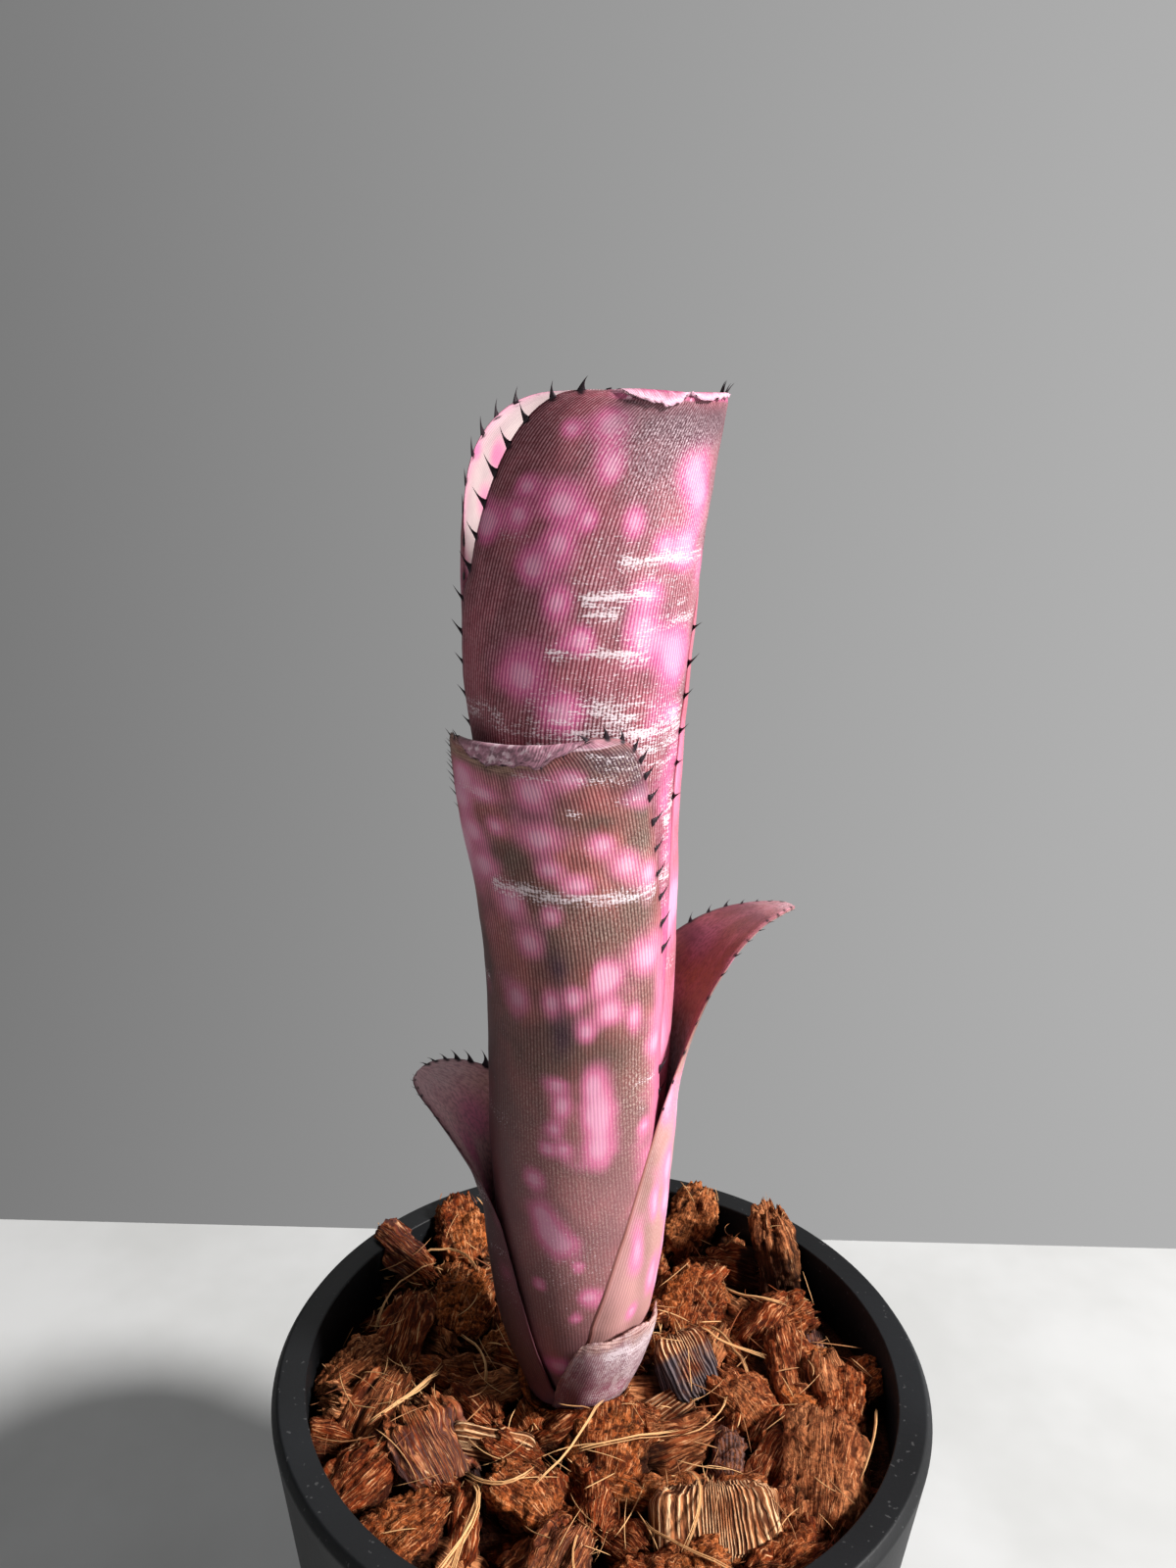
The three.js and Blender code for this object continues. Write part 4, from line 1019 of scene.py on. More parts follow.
        "piece": "left_leaf", "node": "leaf_left", "slot": "leaf_mature", "look": leftLook, "seed": 23,
        "layer": 4, "midrib": 158, "foot": -12, "top": 51.6,
        "clockwise": (4, 92, 50, 0.5, 150), "anticlockwise": (4, 86, 50, 0.5, 150),
        "arch": (26, 70, 1, 1.4), "thorns": (32, 38, 2, 4), "thornScale": (1.25, 0.5), "rows": 90, "lipRows": 3,
        "columns": 80,
        "blots": strong([(156, 41, 2.6, 4.0), (176, 38, 1.6, 3.0), (178, 30, 1.6, 2.4)], 0.9),
        "moreBlots": (14, (90, 240), (0, 46), (1.0, 2.2), (0.3, 0.7)),
        "bands": [(20, 200, 240, 0.15, 2)], "moreBands": (5, (90, 200), (5, 46), (0.1, 0.4)),
        "olives": [(210, 10, 6, 8, 0.4), (140, 38, 5, 8, 0.8)], "shaded": (1, 74, 96),
        "veils": [(150, 50, 8, 3, 0.8)],
    },
    {
        "piece": "torn_old_base", "node": "old_leaf_base", "slot": "leaf_dry", "look": oldLook, "seed": 29,
        "layer": 5, "midrib": 308, "foot": -13.5, "top": 14.4, "torn": 1.3,
        "clockwise": (34, 58, 14, 0.8, 100), "anticlockwise": (40, 60, 14, 0.8, 100),
        "rows": 60, "lipRows": 4, "columns": 70,
        "blots": strong([(276, 3, 2.4, 5.0), (282, -3, 3, 3), (310, 2, 1.6, 2.0)], 0.8),
        "moreBlots": (4, (260, 350), (-8, 10), (0.8, 2.0), (0.2, 0.5)),
        "bands": [
            (11, 285, 345, 0.8, 1.0), (8, 300, 340, 0.5, 1.4), (4.5, 305, 335, 0.4, 1.2), (1.5, 290, 310, 0.4, 1.0),
        ],
        "moreBands": (4, (260, 320), (-8, 8), (0.2, 0.4)), "olives": [(305, 2, 2.4, 3, 0.7), (322, -2, 4, 4, 0.5)],
        "veils": [(322, 9, 6, 4, 1), (300, 8, 5, 2.4, 0.9), (332, 3, 4, 5, 0.6)],
        "violets": [
            (268, 1, 3.4, 7, 1), (278, 8, 2, 3, 0.7), (296, -5, 5, 3, 0.7), (326, -6, 4, 3, 0.6), (340, 8, 2, 4, 0.4),
        ],
        "dryness": lambda azimuth, height, rise, ripple: smooth(rise + 0.06 * ripple, 0.9, 1.0) * 0.8,
    },
]
for leaf in leaves:
    makeLeaf(leaf)
    print("leaf made:", leaf["piece"])


def stemFinish():
    # brown fibres by even noise, with a rough grain
    finish = Finish("stemSkin", {"Roughness": 0.8})
    fibres = finish.noise(finish.place(), 420.0, 4.0, 0.6)
    finish.bump(fibres, 0.6, 0.0004)
    return finish.feed({"Base Color": finish.cover((70, 52, 34), (finish.step(fibres, 0.3, 0.7), (140, 118, 80)))})


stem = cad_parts["stem"]
stem.data.materials.clear()
stem.data.materials.append(stemFinish())


# Coconut husk: a grid is the points round a chip and along it

husk = {
    "level": -11, "seed": 41, "bigGrid": (64, 84), "smallGrid": (30, 34), "wallGap": 0.45, "wallInner": 50.5,
    "plantGap": 0.5, "cuts": 5, "block": 0.95, "stripe": 0.62,
    "small": 118, "smallEdge": 3.2, "smallLong": (7, 13), "smallWide": (4.5, 8.5), "smallThick": (3.0, 5.5),
    "smallMove": 1.6, "smallTips": (36, 60), "smallRise": (1.0, 4.4), "plantHeap": (2.0, 12, 24),
    "backHeap": (1.6, 20, 44), "smallKinds": (0.1, 1.0), "smallTints": (0.1, 0.75), "smallSlate": (0.1, 0.6),
    "bedGap": 0.35, "bedRings": 60, "bedTurns": 160, "bedLumps": 1.3,
    # the bed's own values, burial most of all, paint it nearly the near-black brown of the painted shade
    "bedValues": {"kind": 0.2, "tint": 0.1, "slate": 0.0, "hollow": 0.25, "buriedShade": 0.9},
    "dark": (48, 14, 4), "rust": (128, 52, 18), "tan": (224, 150, 98), "slate": (104, 92, 94), "groove": (34, 26, 30),
    # the last colour in the next row is the near-black brown of the painted shade under and between the chips
    "bright": (252, 208, 160), "amber": (198, 108, 50), "shadeBrown": (24, 8, 4),
}
# place, fibre length, width, thickness, yaw, pitch, roll, kind (0 pithy to 1 straight fibres), tint, slate share
bigChips = [
    ((32.5, 27, -1), (18, 8.5, 6.5), (150, 74, 10), 0.7, 0.62, 0),
    ((17.5, 37, -2), (14, 9, 6), (60, 50, 20), 0.3, 0.6, 0),
    ((-26, 35, -2.5), (13, 10, 7), (110, 35, 0), 0.2, 0.45, 0),
    ((-37, 27, -1.5), (17, 6, 4.5), (146, 16, 15), 0.8, 0.1, 0.2),
    ((-25, 17, -5.5), (14, 11, 7), (80, 15, 0), 0.15, 0.35, 0),
    ((-34, 8, -5.5), (17, 8, 5), (82, 14, 10), 0.9, 0.38, 0),
    ((-41, 1, -5.5), (12, 7, 5), (40, 14, 0), 0.5, 0.62, 0),
    ((-36.5, -8, -6), (14, 8, 5), (66, 15, 0), 0.9, 0.5, 0),
    ((-36, -20, -6), (12, 9, 5), (50, 10, 0), 0.6, 0.35, 0),
    ((-26.5, -15, -5.2), (11, 12, 6.5), (-50, -30, 0), 0.9, 0.45, 0.25),
    ((1, -12.8, -6), (13, 12, 7), (80, 22, 4), 0.25, 0.4, 0),
    ((16.5, -27.4, -5.4), (9.5, 17.5, 6.5), (-86, -38, 0), 1.0, 0.72, 0),
    ((32.8, -19, -5), (18, 12.5, 7), (78, 18, -8), 0.55, 0.6, 0),
    ((23, -4, -6), (13, 8, 6), (135, 25, 0), 0.4, 0.5, 0),
    ((32, 2, -5.5), (15, 8, 5.5), (98, 24, 10), 0.6, 0.45, 0),
    ((14.3, 1.2, -3.8), (9.5, 9.5, 7), (-58, -38, 0), 1.0, 0.5, 1),
    ((9, -37, -6), (15, 10, 6), (12, 6, 0), 0.2, 0.5, 0),
    ((-28, -30, -5.5), (13, 10, 7), (40, 12, 0), 0.35, 0.4, 0),
    ((30, 15, -6.5), (15, 9, 6), (20, 10, 10), 0.4, 0.3, 0),
    ((17, 19, -6.5), (14, 10, 6), (70, 14, 0), 0.3, 0.3, 0),
    ((-8, 34, -5.2), (15, 10, 6), (20, 16, 0), 0.4, 0.45, 0),
    ((4, 42, -4.5), (14, 7.5, 6), (5, 20, 0), 0.5, 0.5, 0),
    ((-11, -24, -6), (12, 9, 6), (150, 18, 8), 0.3, 0.45, 0),
    ((-6, -36, -6), (12, 8, 6), (60, 14, 0), 0.7, 0.5, 0.1),
    ((26, -34, -6.2), (13, 8, 6), (30, 10, 0), 0.4, 0.4, 0),
    ((39, -4, -6.2), (12, 8, 5), (80, 12, 0), 0.4, 0.3, 0),
]


def clearOfWallAndPlant(points):
    # the distance from the pot's axis is held below the wall's, and from the plant's axis above its outer layer's
    x, y, z = points[..., 0], points[..., 1], points[..., 2]
    limit = np.where(z < 0.4, rimInner - husk["wallGap"], husk["wallInner"])
    inward = np.minimum(1, limit / np.maximum(np.hypot(x, y), 1e-6))
    x, y = x * inward, y * inward
    axis, radius = tubeAt(z, 5)
    dx, dy = x - axis, y - plant["axisY"]
    distance = np.maximum(np.hypot(dx, dy), 1e-6)
    pushed = np.maximum(distance, radius + husk["plantGap"]) / distance
    return np.stack([axis + dx * pushed, plant["axisY"] + dy * pushed, z], -1)


def superellipse(power, count, closed):
    # |a|^p + |b|^p = 1, sampled evenly by length: the whole loop, or from one end (1, 0) to the other (-1, 0)
    angle = np.linspace(0, 2 * np.pi if closed else np.pi, 2000)
    a, b = (np.sign(part) * np.abs(part) ** (2 / power) for part in (np.cos(angle), np.sin(angle)))
    length = np.concatenate([[0], np.cumsum(np.hypot(np.diff(a), np.diff(b)))])
    even = np.linspace(0, length[-1], count + 1)[:-1] if closed else np.linspace(0, length[-1], count)
    return np.interp(even, length, a), np.interp(even, length, b)


def turnMatrix(yaw, pitch, roll):
    # roll about the fibres, then pitch their far end up, then yaw about the vertical
    turns = ((yaw, "Z"), (-pitch, "Y"), (roll, "X"))
    first, second, third = (Matrix.Rotation(math.radians(angle), 3, axis) for angle, axis in turns)
    return np.array(first @ second @ third)


def chipSurface(size, kind, grid, draw):
    # a boxy closed form: a superellipse loop carried along the fibres, its corners pulled out of square, then
    # lumps, grooves along the fibres and ragged ends are added from lattice noise; `hollow` is how deep a point is,
    # which the husk's material turns into painted shade
    half = np.array(size) / 2
    around, along = grid
    block = kind >= husk["block"]
    alongA, alongB = superellipse(lerp(3.2, 5.5, kind), along, False)
    loopA, loopB = superellipse(lerp(3.0, 6.0, kind), around, True)
    x = alongA[1:-1, None] + 0 * loopA
    y = alongB[1:-1, None] * loopA
    z = alongB[1:-1, None] * loopB
    box = np.concatenate([np.stack([x, y, z], -1).reshape(-1, 3), [[1, 0, 0], [-1, 0, 0]]])
    corners = draw.uniform(-1, 1, (2, 2, 2, 3)) * [0.2, 0.28, 0.28]
    share = (box + 1) / 2
    warp = np.zeros_like(box)
    for at in np.ndindex(2, 2, 2):
        weight = np.prod(np.where(np.array(at) == 1, share, 1 - share), axis=-1)
        warp += weight[:, None] * corners[at]
    points = (box + warp) * half
    # flat cuts: what lies beyond a plane is pressed back onto it
    for cut in range(husk["cuts"]):
        across = unit(draw.normal(0, 1, 3) * [0.45, 1, 1])
        reach = np.abs(across) @ half * draw.uniform(0.5, 0.86) * (1.7 if block else lerp(1, 1.2, kind))
        points = points - np.maximum(points @ across - reach, 0)[:, None] * across
    points[:, 2] += draw.uniform(-0.02, 0.02) * points[:, 0] ** 2
    outward = unit(box**3 / half)
    shift = draw.uniform(0, 200, 3)
    seed = int(draw.integers(1e6))
    lumps = layeredNoise(points * 0.3 + shift, seed, 3) * (0.3 if block else 1)
    grooves = layeredNoise(points * [0.1, 1.25, 1.25] + shift, seed + 9, 3, 0.6)
    pith = layeredNoise(points * 0.95 + shift, seed + 5, 4, 0.62)
    fray = layeredNoise(points * [0.0, 1.1, 1.1] + shift, seed + 3, 3, 0.7)
    end = smooth(np.abs(box[:, 0]), 0.7, 1.0)
    depth = lerp(pith * 0.75, grooves * (0.25 if block else 0.8), kind) + lumps * lerp(0.75, 0.35, kind)
    points = points + outward * (depth * (1 - 0.5 * end))[:, None]
    points[:, 0] += np.sign(box[:, 0]) * end * fray * (0.7 if block else lerp(0.8, 1.9, kind))
    hollow = np.clip(0.5 + lerp(pith, grooves, kind) * 0.55 + end * fray * 0.3, 0.4 if block else 0, 1)
    quads, fans = closedTube(along - 2, around)
    girth = np.arctan2(points[:, 2], points[:, 1]) * (half[1] + half[2]) / 2
    return points, quads[:, ::-1], fans[:, ::-1], hollow, np.stack([points[:, 0], girth], -1)


def huskFinish():
    # fibres are noise drawn out along the chip; pith is even noise; tint chooses rust to tan; depth and burial
    # darken a point towards a near-black brown as painted shade
    finish = Finish("coconutHusk", {"Specular IOR Level": 0.12})
    step, noise = finish.step, finish.noise
    along, girth = finish.split(finish.node("ShaderNodeUVMap", {"uv_map": "UVMap"}))[:2]
    kind, tint, slate, depth, buriedShade = finish.values("kind", "tint", "slate", "hollow", "buriedShade")
    place = finish.place()
    fibres = noise(finish.vector(along * 0.22, girth * 1.9, tint * 40), 1.0, 3.0, 0.7)
    fine = noise(finish.vector(along * 0.4, girth * 5.0, tint * 30), 1.0, 2.0, 0.6)
    pith = noise(place, 1100.0, 4.0, 0.75)
    broad = noise(place, 150.0, 3.0, 0.6)
    strands = fibres * kind + pith * (1 - kind)
    wave = (girth * (2 * math.pi / husk["stripe"]) + fibres * 2.5).cosine()
    striped = step(kind, 0.94, 0.97)
    lit = step(wave + fine * 0.6, 0.7, 1.2) * step(broad + fibres * 0.4, 0.5, 0.75)
    greyed = finish.cover(husk["groove"], (step(wave, -0.6, 0.7), husk["slate"]))
    colour = finish.cover(
        husk["rust"],
        (step(tint + broad * 0.6 - 0.3, 0.35, 1.05), husk["tan"]),
        (step(kind, 0.5, 0.2) * step(broad, 0.35, 0.6) * 0.7, husk["amber"]),
        (step(strands, 0.6, 0.42) * 0.85, husk["dark"]),
        (step(fine + strands * 0.5, 0.76, 0.92) * 0.6, husk["tan"]),
        (step(fine + strands * 0.4, 0.84, 0.98) * 0.8, husk["bright"]),
        (striped * step(wave, 0.0, -0.9) * 0.65, husk["dark"]),
        (striped * lit * 0.85, husk["bright"]),
        # painted shade: points buried under their neighbours are darkened to a near-black brown
        (buriedShade * 0.88, husk["shadeBrown"]),
        (slate * step(broad, 0.25, 0.5), greyed),
        # painted shade: deep hollows are darkened to the same near-black brown
        (step(depth, 0.36, 0.06) * 0.85, husk["shadeBrown"]),
    )
    finish.bump(strands * 0.9 + fine * kind * 0.6 + pith * 0.35 + striped * wave * 0.3, 0.9, 0.0006)
    return finish.feed({"Base Color": colour, "Roughness": 0.68 + pith * 0.3})


def layChips(chips, grid, draw):
    # every chip's surface is turned, set in place and kept clear of the wall and the plant, with a tuft at its ends
    labels = ("points", "quads", "fans", "uv", "kind", "tint", "slate", "hollow")
    total, parts, tufts = 0, [], []
    for place, size, turn, kind, tint, slate in chips:
        points, quads, fans, hollow, uv = chipSurface(size, kind, grid, draw)
        matrix = turnMatrix(*turn).T
        placed = clearOfWallAndPlant(points @ matrix + np.array(place))
        face = slate * smooth(points[:, 0] / size[0], -0.34, -0.2)
        even = np.ones(len(placed))
        parts.append((placed, quads + total, fans + total, uv, kind * even, tint * even, face, hollow))
        total += len(placed)
        tufts.append(endTufts(size, kind, draw) @ matrix + np.array(place))
    return dict(zip(labels, map(np.concatenate, zip(*parts)))), np.concatenate(tufts)


def endTufts(size, kind, draw):
    # short straight fibres that stand out of a chip's two ends, each a path of four points
    half = np.array(size) / 2
    count = int(3 + 1.1 * size[1] * (0.4 + kind))
    sign = np.where(np.arange(count) % 2, 1, -1)
    root = np.stack([
        sign * half[0] * draw.uniform(0.7, 0.92, count), draw.uniform(-0.8, 0.8, count) * half[1],
        draw.uniform(-0.8, 0.8, count) * half[2],
    ], -1)
    way = np.stack([sign * 1.0, draw.normal(0, 0.22, count), draw.normal(0, 0.22, count)], -1)
    length = draw.uniform(1.2, 1.6 + 2.4 * kind, count)
    t = np.linspace(0, 1, 4)[:, None]
    bend = draw.normal(0, 0.25, (count, 1, 3)) * t**2
    return root[:, None] + (way[:, None] * t + bend) * length[:, None, None]


def addHusk(made):
    # the filling's pieces all stand in for the same node
    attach(made, "root")
    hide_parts("husk_chips")


def addChips(name, laid, ground, finish):
    # how far a point lies below its surroundings' top darkens it: painted shade under and between the chips
    points = laid["points"]
    below = heightUnder(*ground, points[:, :2]) - points[:, 2]
    values = {label: laid[label] for label in ("kind", "tint", "slate", "hollow")}
    values["buriedShade"] = smooth(below, 1.0, 5.0)
    addHusk(addMesh(name, points, laid["quads"], laid["fans"], values, laid["uv"], finish))


def smallChips(draw):
    # a sunflower spiral over the filling, each chip moved, turned and tipped by its own draws, and heaped up a
    # little at the plant and at the back
    chips = []
    move, (pitch, roll), (slateChance, slateShare) = husk["smallMove"], husk["smallTips"], husk["smallSlate"]
    (plantHeap, *nearPlant), (backHeap, *atBack) = husk["plantHeap"], husk["backHeap"]
    for index in range(husk["small"]):
        radius = (rimInner - husk["smallEdge"]) * math.sqrt((index + 0.5) / husk["small"])
        angle = index * math.pi * (3 - math.sqrt(5))
        x = radius * math.cos(angle) + draw.uniform(-move, move)
        y = radius * math.sin(angle) + draw.uniform(-move, move)
        toPlant = math.hypot(x + 4.3, y + 1)
        raised = draw.uniform(*husk["smallRise"]) + plantHeap * (1 - float(smooth(toPlant, *nearPlant)))
        raised += backHeap * float(smooth(y, *atBack))
        size = tuple(draw.uniform(*husk[measure]) for measure in ("smallLong", "smallWide", "smallThick"))
        turn = (draw.uniform(0, 360), draw.uniform(-pitch, pitch), draw.uniform(-roll, roll))
        slate = float(draw.random() < slateChance) * slateShare
        kind, tint = draw.uniform(*husk["smallKinds"]), draw.uniform(*husk["smallTints"])
        chips.append(((x, y, husk["level"] + raised), size, turn, kind, tint, slate))
    return chips


def makeBed(finish):
    # the filling under the chips: a body of revolution that follows the pot's inside, with a lumpy top
    band = pot["height"] - pot["band"]
    under = band - pot["taper"]
    gap = husk["bedGap"]
    top = pot["height"] + husk["level"]
    walls = [
        (0, pot["floor"] + gap), (potOuter(pot["floor"]) - pot["wall"] - gap, pot["floor"] + gap),
        (potOuter(under) - pot["wall"] - gap, under), (rimInner - pot["draft"] - gap, band), (rimInner - gap, top),
    ]
    upper = [(radius, top) for radius in np.linspace(rimInner - gap, 0, husk["bedRings"])[1:]]
    points, quads, fans = turned(np.array(walls + upper), husk["bedTurns"])
    x, y, z = points.T
    onTop = (z > top - 0.01) * smooth(rimInner - 0.2 - np.hypot(x, y), 0.2, 2)
    points[:, 2] += onTop * noiseAlong(x * 0.3, y * 0.3, 51, 4, 0.6) * husk["bedLumps"]
    # its values paint it nearly the near-black brown, as painted shade in the gaps between the chips
    values = {label: np.full(len(points), value) for label, value in husk["bedValues"].items()}
    addHusk(addMesh("husk_bed", points, quads, fans, values, points[:, :2], finish, raised=False))


def surfaceHeights(points):
    # the highest chip point in each one-millimetre square of the plan
    span = 104
    heights = np.full((span, span), float(husk["level"]))
    i, j = (np.clip((points[:, axis] + span / 2).astype(int), 0, span - 1) for axis in (0, 1))
    np.maximum.at(heights, (i, j), points[:, 2])
    return heights, span


def heightUnder(heights, span, plan):
    # the highest of a square and its four neighbours
    i, j = (np.clip((plan[..., axis] + span / 2).astype(int), 1, span - 2) for axis in (0, 1))
    return np.maximum.reduce([heights[i + di, j + dj] for di, dj in ((0, 0), (1, 0), (-1, 0), (0, 1), (0, -1))])


huskSkin = huskFinish()
makeBed(huskSkin)
draw = np.random.default_rng(husk["seed"])
loose = smallChips(draw)
nearer, halfway = len(bigChips) // 2, len(loose) // 2
heaps = {
    "large_husk_chips_a": layChips(bigChips[:nearer], husk["bigGrid"], draw),
    "large_husk_chips_b": layChips(bigChips[nearer:], husk["bigGrid"], draw),
    "loose_husk_chips_a": layChips(loose[:halfway], husk["smallGrid"], draw),
    "loose_husk_chips_b": layChips(loose[halfway:], husk["smallGrid"], draw),
}
ground = surfaceHeights(np.concatenate([laid["points"] for laid, tufts in heaps.values()]))
for name, (laid, tufts) in heaps.items():
    addChips(name, laid, ground, huskSkin)
print("husk chips made")


# Loose fibres

fibre = {
    "count": 210, "reach": 44, "long": (3, 12), "radius": (0.05, 0.12), "rings": 8, "sides": 4, "seed": 61,
    "strands": 5, "strandShare": (0.3, 0.62), "tuft": (0.05, 0.13), "tuftSides": 3,
    "straw": (226, 176, 120), "gold": (130, 66, 30),
}
# the fibres that show most: start, middle and end in the plan, lift at the middle and the end, and radius
longFibres = [
    ((-20, -22), (-18, -29), (-24, -40), 1.5, 0.5, 0.3), ((-20, -22), (-15, -25), (-10, -22), 1.0, 1.5, 0.26),
    ((-17, -23), (-19, -31), (-21, -42), 1.2, 0.5, 0.22), ((-4, -17), (2, -16), (12, -13), 1.4, 0.6, 0.2),
    ((12, -13), (17, -11), (20, -6), 1.0, 1.4, 0.16), ((-10, -25), (-4, -17), (0, -10), 1.0, 3.4, 0.14),
    ((-36, -14), (-31, -10), (-26, -3), 1.2, 1.6, 0.24), ((-35, -10), (-30, -6), (-26, 1), 1.2, 1.4, 0.2),
    ((18, 12), (22, 6), (24, -2), 1.8, 0.8, 0.24), ((16, 8), (20, 4), (27, 1), 1.4, 0.7, 0.2),
    ((22, 20), (26, 16), (32, 15), 2.0, 0.8, 0.24), ((12, -22), (14, -27), (11, -36), 1.4, 0.6, 0.18),
    ((-30, 24), (-36, 16), (-38, 6), 2.2, 0.8, 0.22), ((-33, 25), (-27, 26), (-22, 20), 2.0, 0.7, 0.2),
    ((38, -22), (41, -16), (43, -9), 2.0, 2.6, 0.2), ((-24, 9), (-20, 4), (-19, -2), 1.6, 0.7, 0.22),
    ((6, -30), (10, -34), (18, -38), 1.0, 0.8, 0.18), ((-2, -30), (-4, -36), (-2, -43), 1.0, 0.6, 0.18),
]


def fibreFinish():
    # gold to straw by the fibre's own tint, streaked by noise
    finish = Finish("looseFibre", {"Roughness": 0.6, "Specular IOR Level": 0.35})
    tint = finish.values("tint")[0]
    streak = finish.noise(finish.place(), 700.0, 2.0)
    finish.bump(streak, 0.3, 0.0001)
    coat = (finish.step(tint + streak * 0.4 - 0.2, 0.1, 0.9), fibre["straw"])
    return finish.feed({"Base Color": finish.cover(fibre["gold"], coat)})


def fibreTubes(paths, radius, sides):
    # a thin tube round each path, thinning to a point at both ends, framed by the path's run and the vertical
    count, rings = paths.shape[:2]
    run = unit(np.gradient(paths, axis=1))
    across = unit(np.cross(run, np.array([0.13, 0.21, 0.97])))
    t = np.linspace(0, 1, rings)
    thick = radius[:, None] * np.clip(np.minimum(t, 1 - t) * 6, 0.12, 1)
    loops = paths[:, :, None] + ellipses(across, np.cross(run, across), thick, thick, sides)
    points = np.concatenate([loops.reshape(count, -1, 3), paths[:, :1], paths[:, -1:]], 1)
    quads, fans = (copied(faces, count, rings * sides + 2) for faces in closedTube(rings, sides))
    return points.reshape(-1, 3), quads, fans


def strayPaths(draw, t):
    # short fibres on the chips: a heading that turns evenly along the fibre, and a lift towards one end
    count = fibre["count"]
    out = fibre["reach"] * np.sqrt(draw.random(count))
    angle = draw.uniform(0, 2 * np.pi, count)
    heading = draw.uniform(0, 2 * np.pi, count)
    length = draw.uniform(*fibre["long"], count) * draw.uniform(0.4, 1, count)
    bend = draw.normal(0, 0.5, count)
    turn = heading[:, None] + bend[:, None] * (t - 0.5)
    steps = np.stack([np.cos(turn), np.sin(turn)], -1) * (length / (len(t) - 1))[:, None, None]
    plan = np.cumsum(steps, axis=1) - steps.sum(axis=1, keepdims=True) / 2
    plan = plan + np.stack([out * np.cos(angle), out * np.sin(angle)], -1)[:, None]
    under = heightUnder(*ground, plan)
    rest = under.mean(axis=1, keepdims=True) + (t - 0.5) * (under[:, -1:] - under[:, :1]) * 0.7 + 0.5
    lift = (draw.uniform(-0.4, 2.2, count) ** 2 * 0.5)[:, None] * (t - draw.uniform(0, 1, count)[:, None])
    return np.concatenate([plan, (rest + 0.1 + lift)[..., None]], -1)


def bundlePaths(draw, t):
    # quadratic curves through three places, lifted over the chips, each a bundle of strands that spread a little
    # towards their ends
    first, middle, last = (np.array([strand[i] for strand in longFibres], float)[:, None] for i in range(3))
    rise, end, thick = (np.array([strand[i] for strand in longFibres])[:, None] for i in (3, 4, 5))
    s = t[None, :, None]
    plan = (1 - s) ** 2 * first + 2 * s * (1 - s) * (2 * middle - (first + last) / 2) + s**2 * last
    under = heightUnder(*ground, plan)
    level = 0.5 * under + 0.5 * under.max(axis=1, keepdims=True) - 0.6
    level = level.mean(axis=1, keepdims=True) * 0.6 + level * 0.4
    level = level + rise * 4 * t * (1 - t) * 0.6 + end * t**2 * 0.6
    paths = np.concatenate([plan, level[..., None]], -1)
    spread = draw.normal(0, 1, (fibre["strands"], len(paths), 2, 3)) * (thick * 1.1)[..., None]
    near = spread[:, :, :1] * (0.5 + 0.9 * (t - 0.4) ** 2)[:, None]
    far = spread[:, :, 1:] * ((t - 0.3) ** 2)[:, None]
    return (paths + near + far).reshape(-1, len(t), 3), np.tile(thick.ravel(), fibre["strands"])


def makeFibres():
    # the stray fibres and the bundles in one piece, and the chips' frayed ends in another
    draw = np.random.default_rng(fibre["seed"])
    t = np.linspace(0, 1, fibre["rings"])
    stray = strayPaths(draw, t)
    bundled, thick = bundlePaths(draw, t)
    every = clearOfWallAndPlant(np.concatenate([stray, bundled]))
    strayRadius = draw.uniform(*fibre["radius"], len(stray))
    radius = np.concatenate([strayRadius, thick * draw.uniform(*fibre["strandShare"], len(bundled))])
    tint = np.concatenate([draw.random(len(stray)), draw.uniform(0.5, 1, len(bundled))])
    ends = clearOfWallAndPlant(np.concatenate([tufts for laid, tufts in heaps.values()]))
    endRadius, endTint = draw.uniform(*fibre["tuft"], len(ends)), draw.uniform(0, 0.9, len(ends))
    skin = fibreFinish()
    for name, paths, thick, shade, sides in (
        ("loose_fibres", every, radius, tint, fibre["sides"]),
        ("frayed_chip_ends", ends, endRadius, endTint, fibre["tuftSides"]),
    ):
        points, quads, fans = fibreTubes(paths, thick, sides)
        values = {"tint": np.repeat(shade, len(points) // len(paths))}
        addHusk(addMesh(name, points, quads, fans, values, finish=skin))


makeFibres()
print("fibres made")


# Floor, light and camera

table = {"half": 2500, "back": 157, "thick": 24, "pale": (194, 195, 194), "paler": (206, 207, 207)}
camera = {
    "sensor": 36, "lens": 29.25, "nearest": 0.005, "pitch": -16.717, "roll": 1.438,
    "place": (-0.0045989, -0.1721786, 0.24062),
}
lightTarget = (-0.004, 0, 0.15)
# name, azimuth (0 is the camera's side, + to the right), elevation, distance, size, power and colour
lights = [
    ("key", 69, 35, 1.6, 0.28, 51, (1.0, 0.98, 0.965)),
    ("fill", -20, 18, 1.6, 0.8, 2.3, (1.0, 1.0, 1.0)),
    ("back", 200, 50, 1.6, 0.8, 3, (1.0, 1.0, 1.0)),
]


def floorFinish():
    # pale grey, faintly clouded
    finish = Finish("paleFloor", {"Roughness": 0.8, "Specular IOR Level": 0.15})
    cloud = finish.noise(finish.place(), 14.0, 4.0, 0.6)
    return finish.feed({"Base Color": finish.cover(table["pale"], (finish.step(cloud, 0.3, 0.7), table["paler"]))})


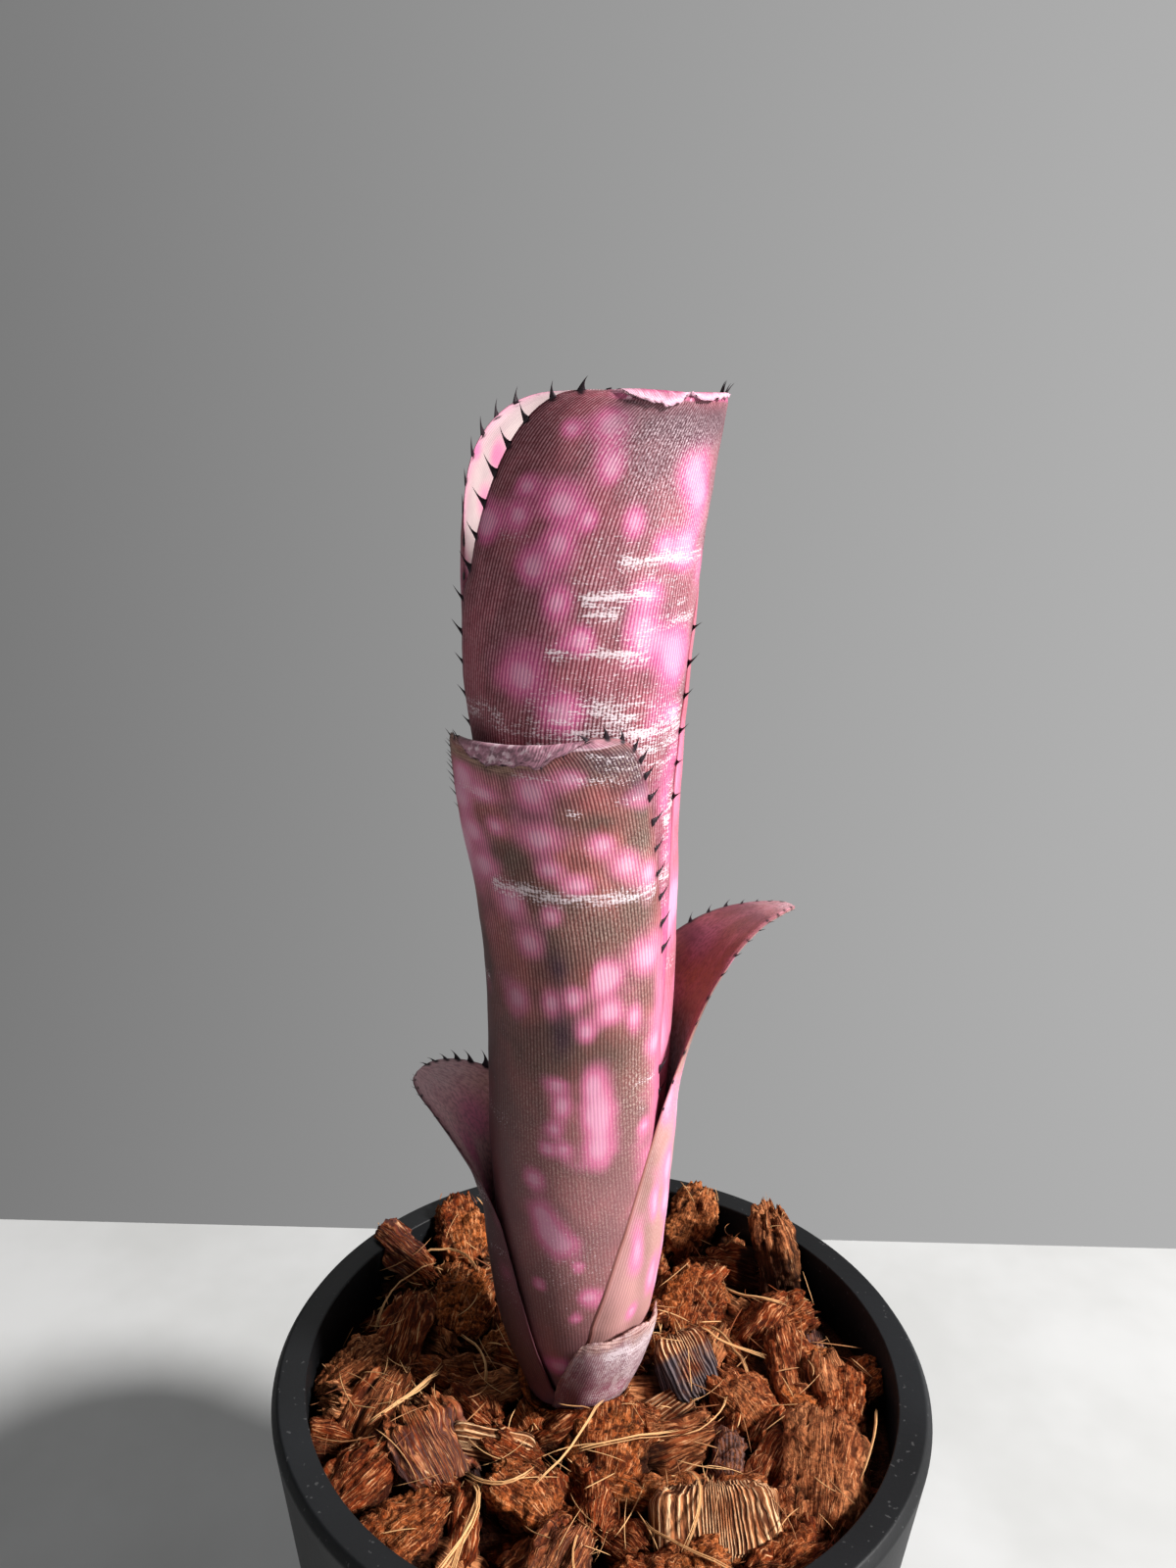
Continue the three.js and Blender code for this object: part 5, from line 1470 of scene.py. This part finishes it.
def makeFloor():
    # a wide table whose back edge shows behind the pot, with the room's grey beyond it
    low = np.array([-table["half"], -table["half"], -table["thick"]])
    high = np.array([table["half"], table["back"], 0])
    points = np.array([np.where(np.array(at) == 1, high, low) for at in np.ndindex(2, 2, 2)])
    quads = [[0, 1, 3, 2], [4, 6, 7, 5], [0, 4, 5, 1], [2, 3, 7, 6], [0, 2, 6, 4], [1, 5, 7, 3]]
    floor = addMesh("studio_floor", points, quads, finish=floorFinish(), raised=False)
    floor.data.shade_flat()


def makeLight(name, azimuth, elevation, distance, size, power, colour):
    # an area light on a sphere round the plant, facing its middle
    data = bpy.data.lights.new(name, "AREA")
    data.shape = "DISK"
    data.size = size
    data.energy = power
    data.color = colour
    light = bpy.data.objects.new(name, data)
    a, e = math.radians(azimuth), math.radians(elevation)
    offset = Vector((math.sin(a) * math.cos(e), -math.cos(a) * math.cos(e), math.sin(e))) * distance
    light.location = Vector(lightTarget) + offset
    light.rotation_euler = (-offset).to_track_quat("-Z", "Y").to_euler()
    bpy.context.scene.collection.objects.link(light)


def makeCamera():
    # the measured place and turn: pitched down, rolled a little, looking along +Y
    data = bpy.data.cameras.new("camera")
    data.sensor_width = camera["sensor"]
    data.lens = camera["lens"]
    data.clip_start = camera["nearest"]
    made = bpy.data.objects.new("camera", data)
    pitch, roll = math.radians(camera["pitch"]), math.radians(camera["roll"])
    forward = Vector((0, math.cos(pitch), math.sin(pitch)))
    right = Vector((1, 0, 0))
    up = right.cross(forward)
    rolledRight = math.cos(roll) * right + math.sin(roll) * up
    rolledUp = -math.sin(roll) * right + math.cos(roll) * up
    turn = Matrix((rolledRight, rolledUp, -forward)).transposed().to_4x4()
    made.matrix_world = Matrix.Translation(camera["place"]) @ turn
    bpy.context.scene.collection.objects.link(made)
    bpy.context.scene.camera = made


def makeRoom():
    # a grey that grows from the shadow side to the window side with the direction's x, darker overhead and in front
    room = Finish("room", {"Strength": 1.0}, room=True)
    x, y, z = room.split(room.node("ShaderNodeTexCoord", output="Generated"))
    grey = (x * 0.3 + 0.32) * room.step(y, -0.5, 0.35, 0.25, 1.0) * room.step(z, 0.3, 0.8, 1.0, 0.35)
    bpy.context.scene.world = room.feed({"Color": room.vector(grey, grey, grey)})


makeFloor()
for light in lights:
    makeLight(*light)
makeRoom()
makeCamera()
bpy.context.scene.view_settings.view_transform = "Standard"
print("stage made")
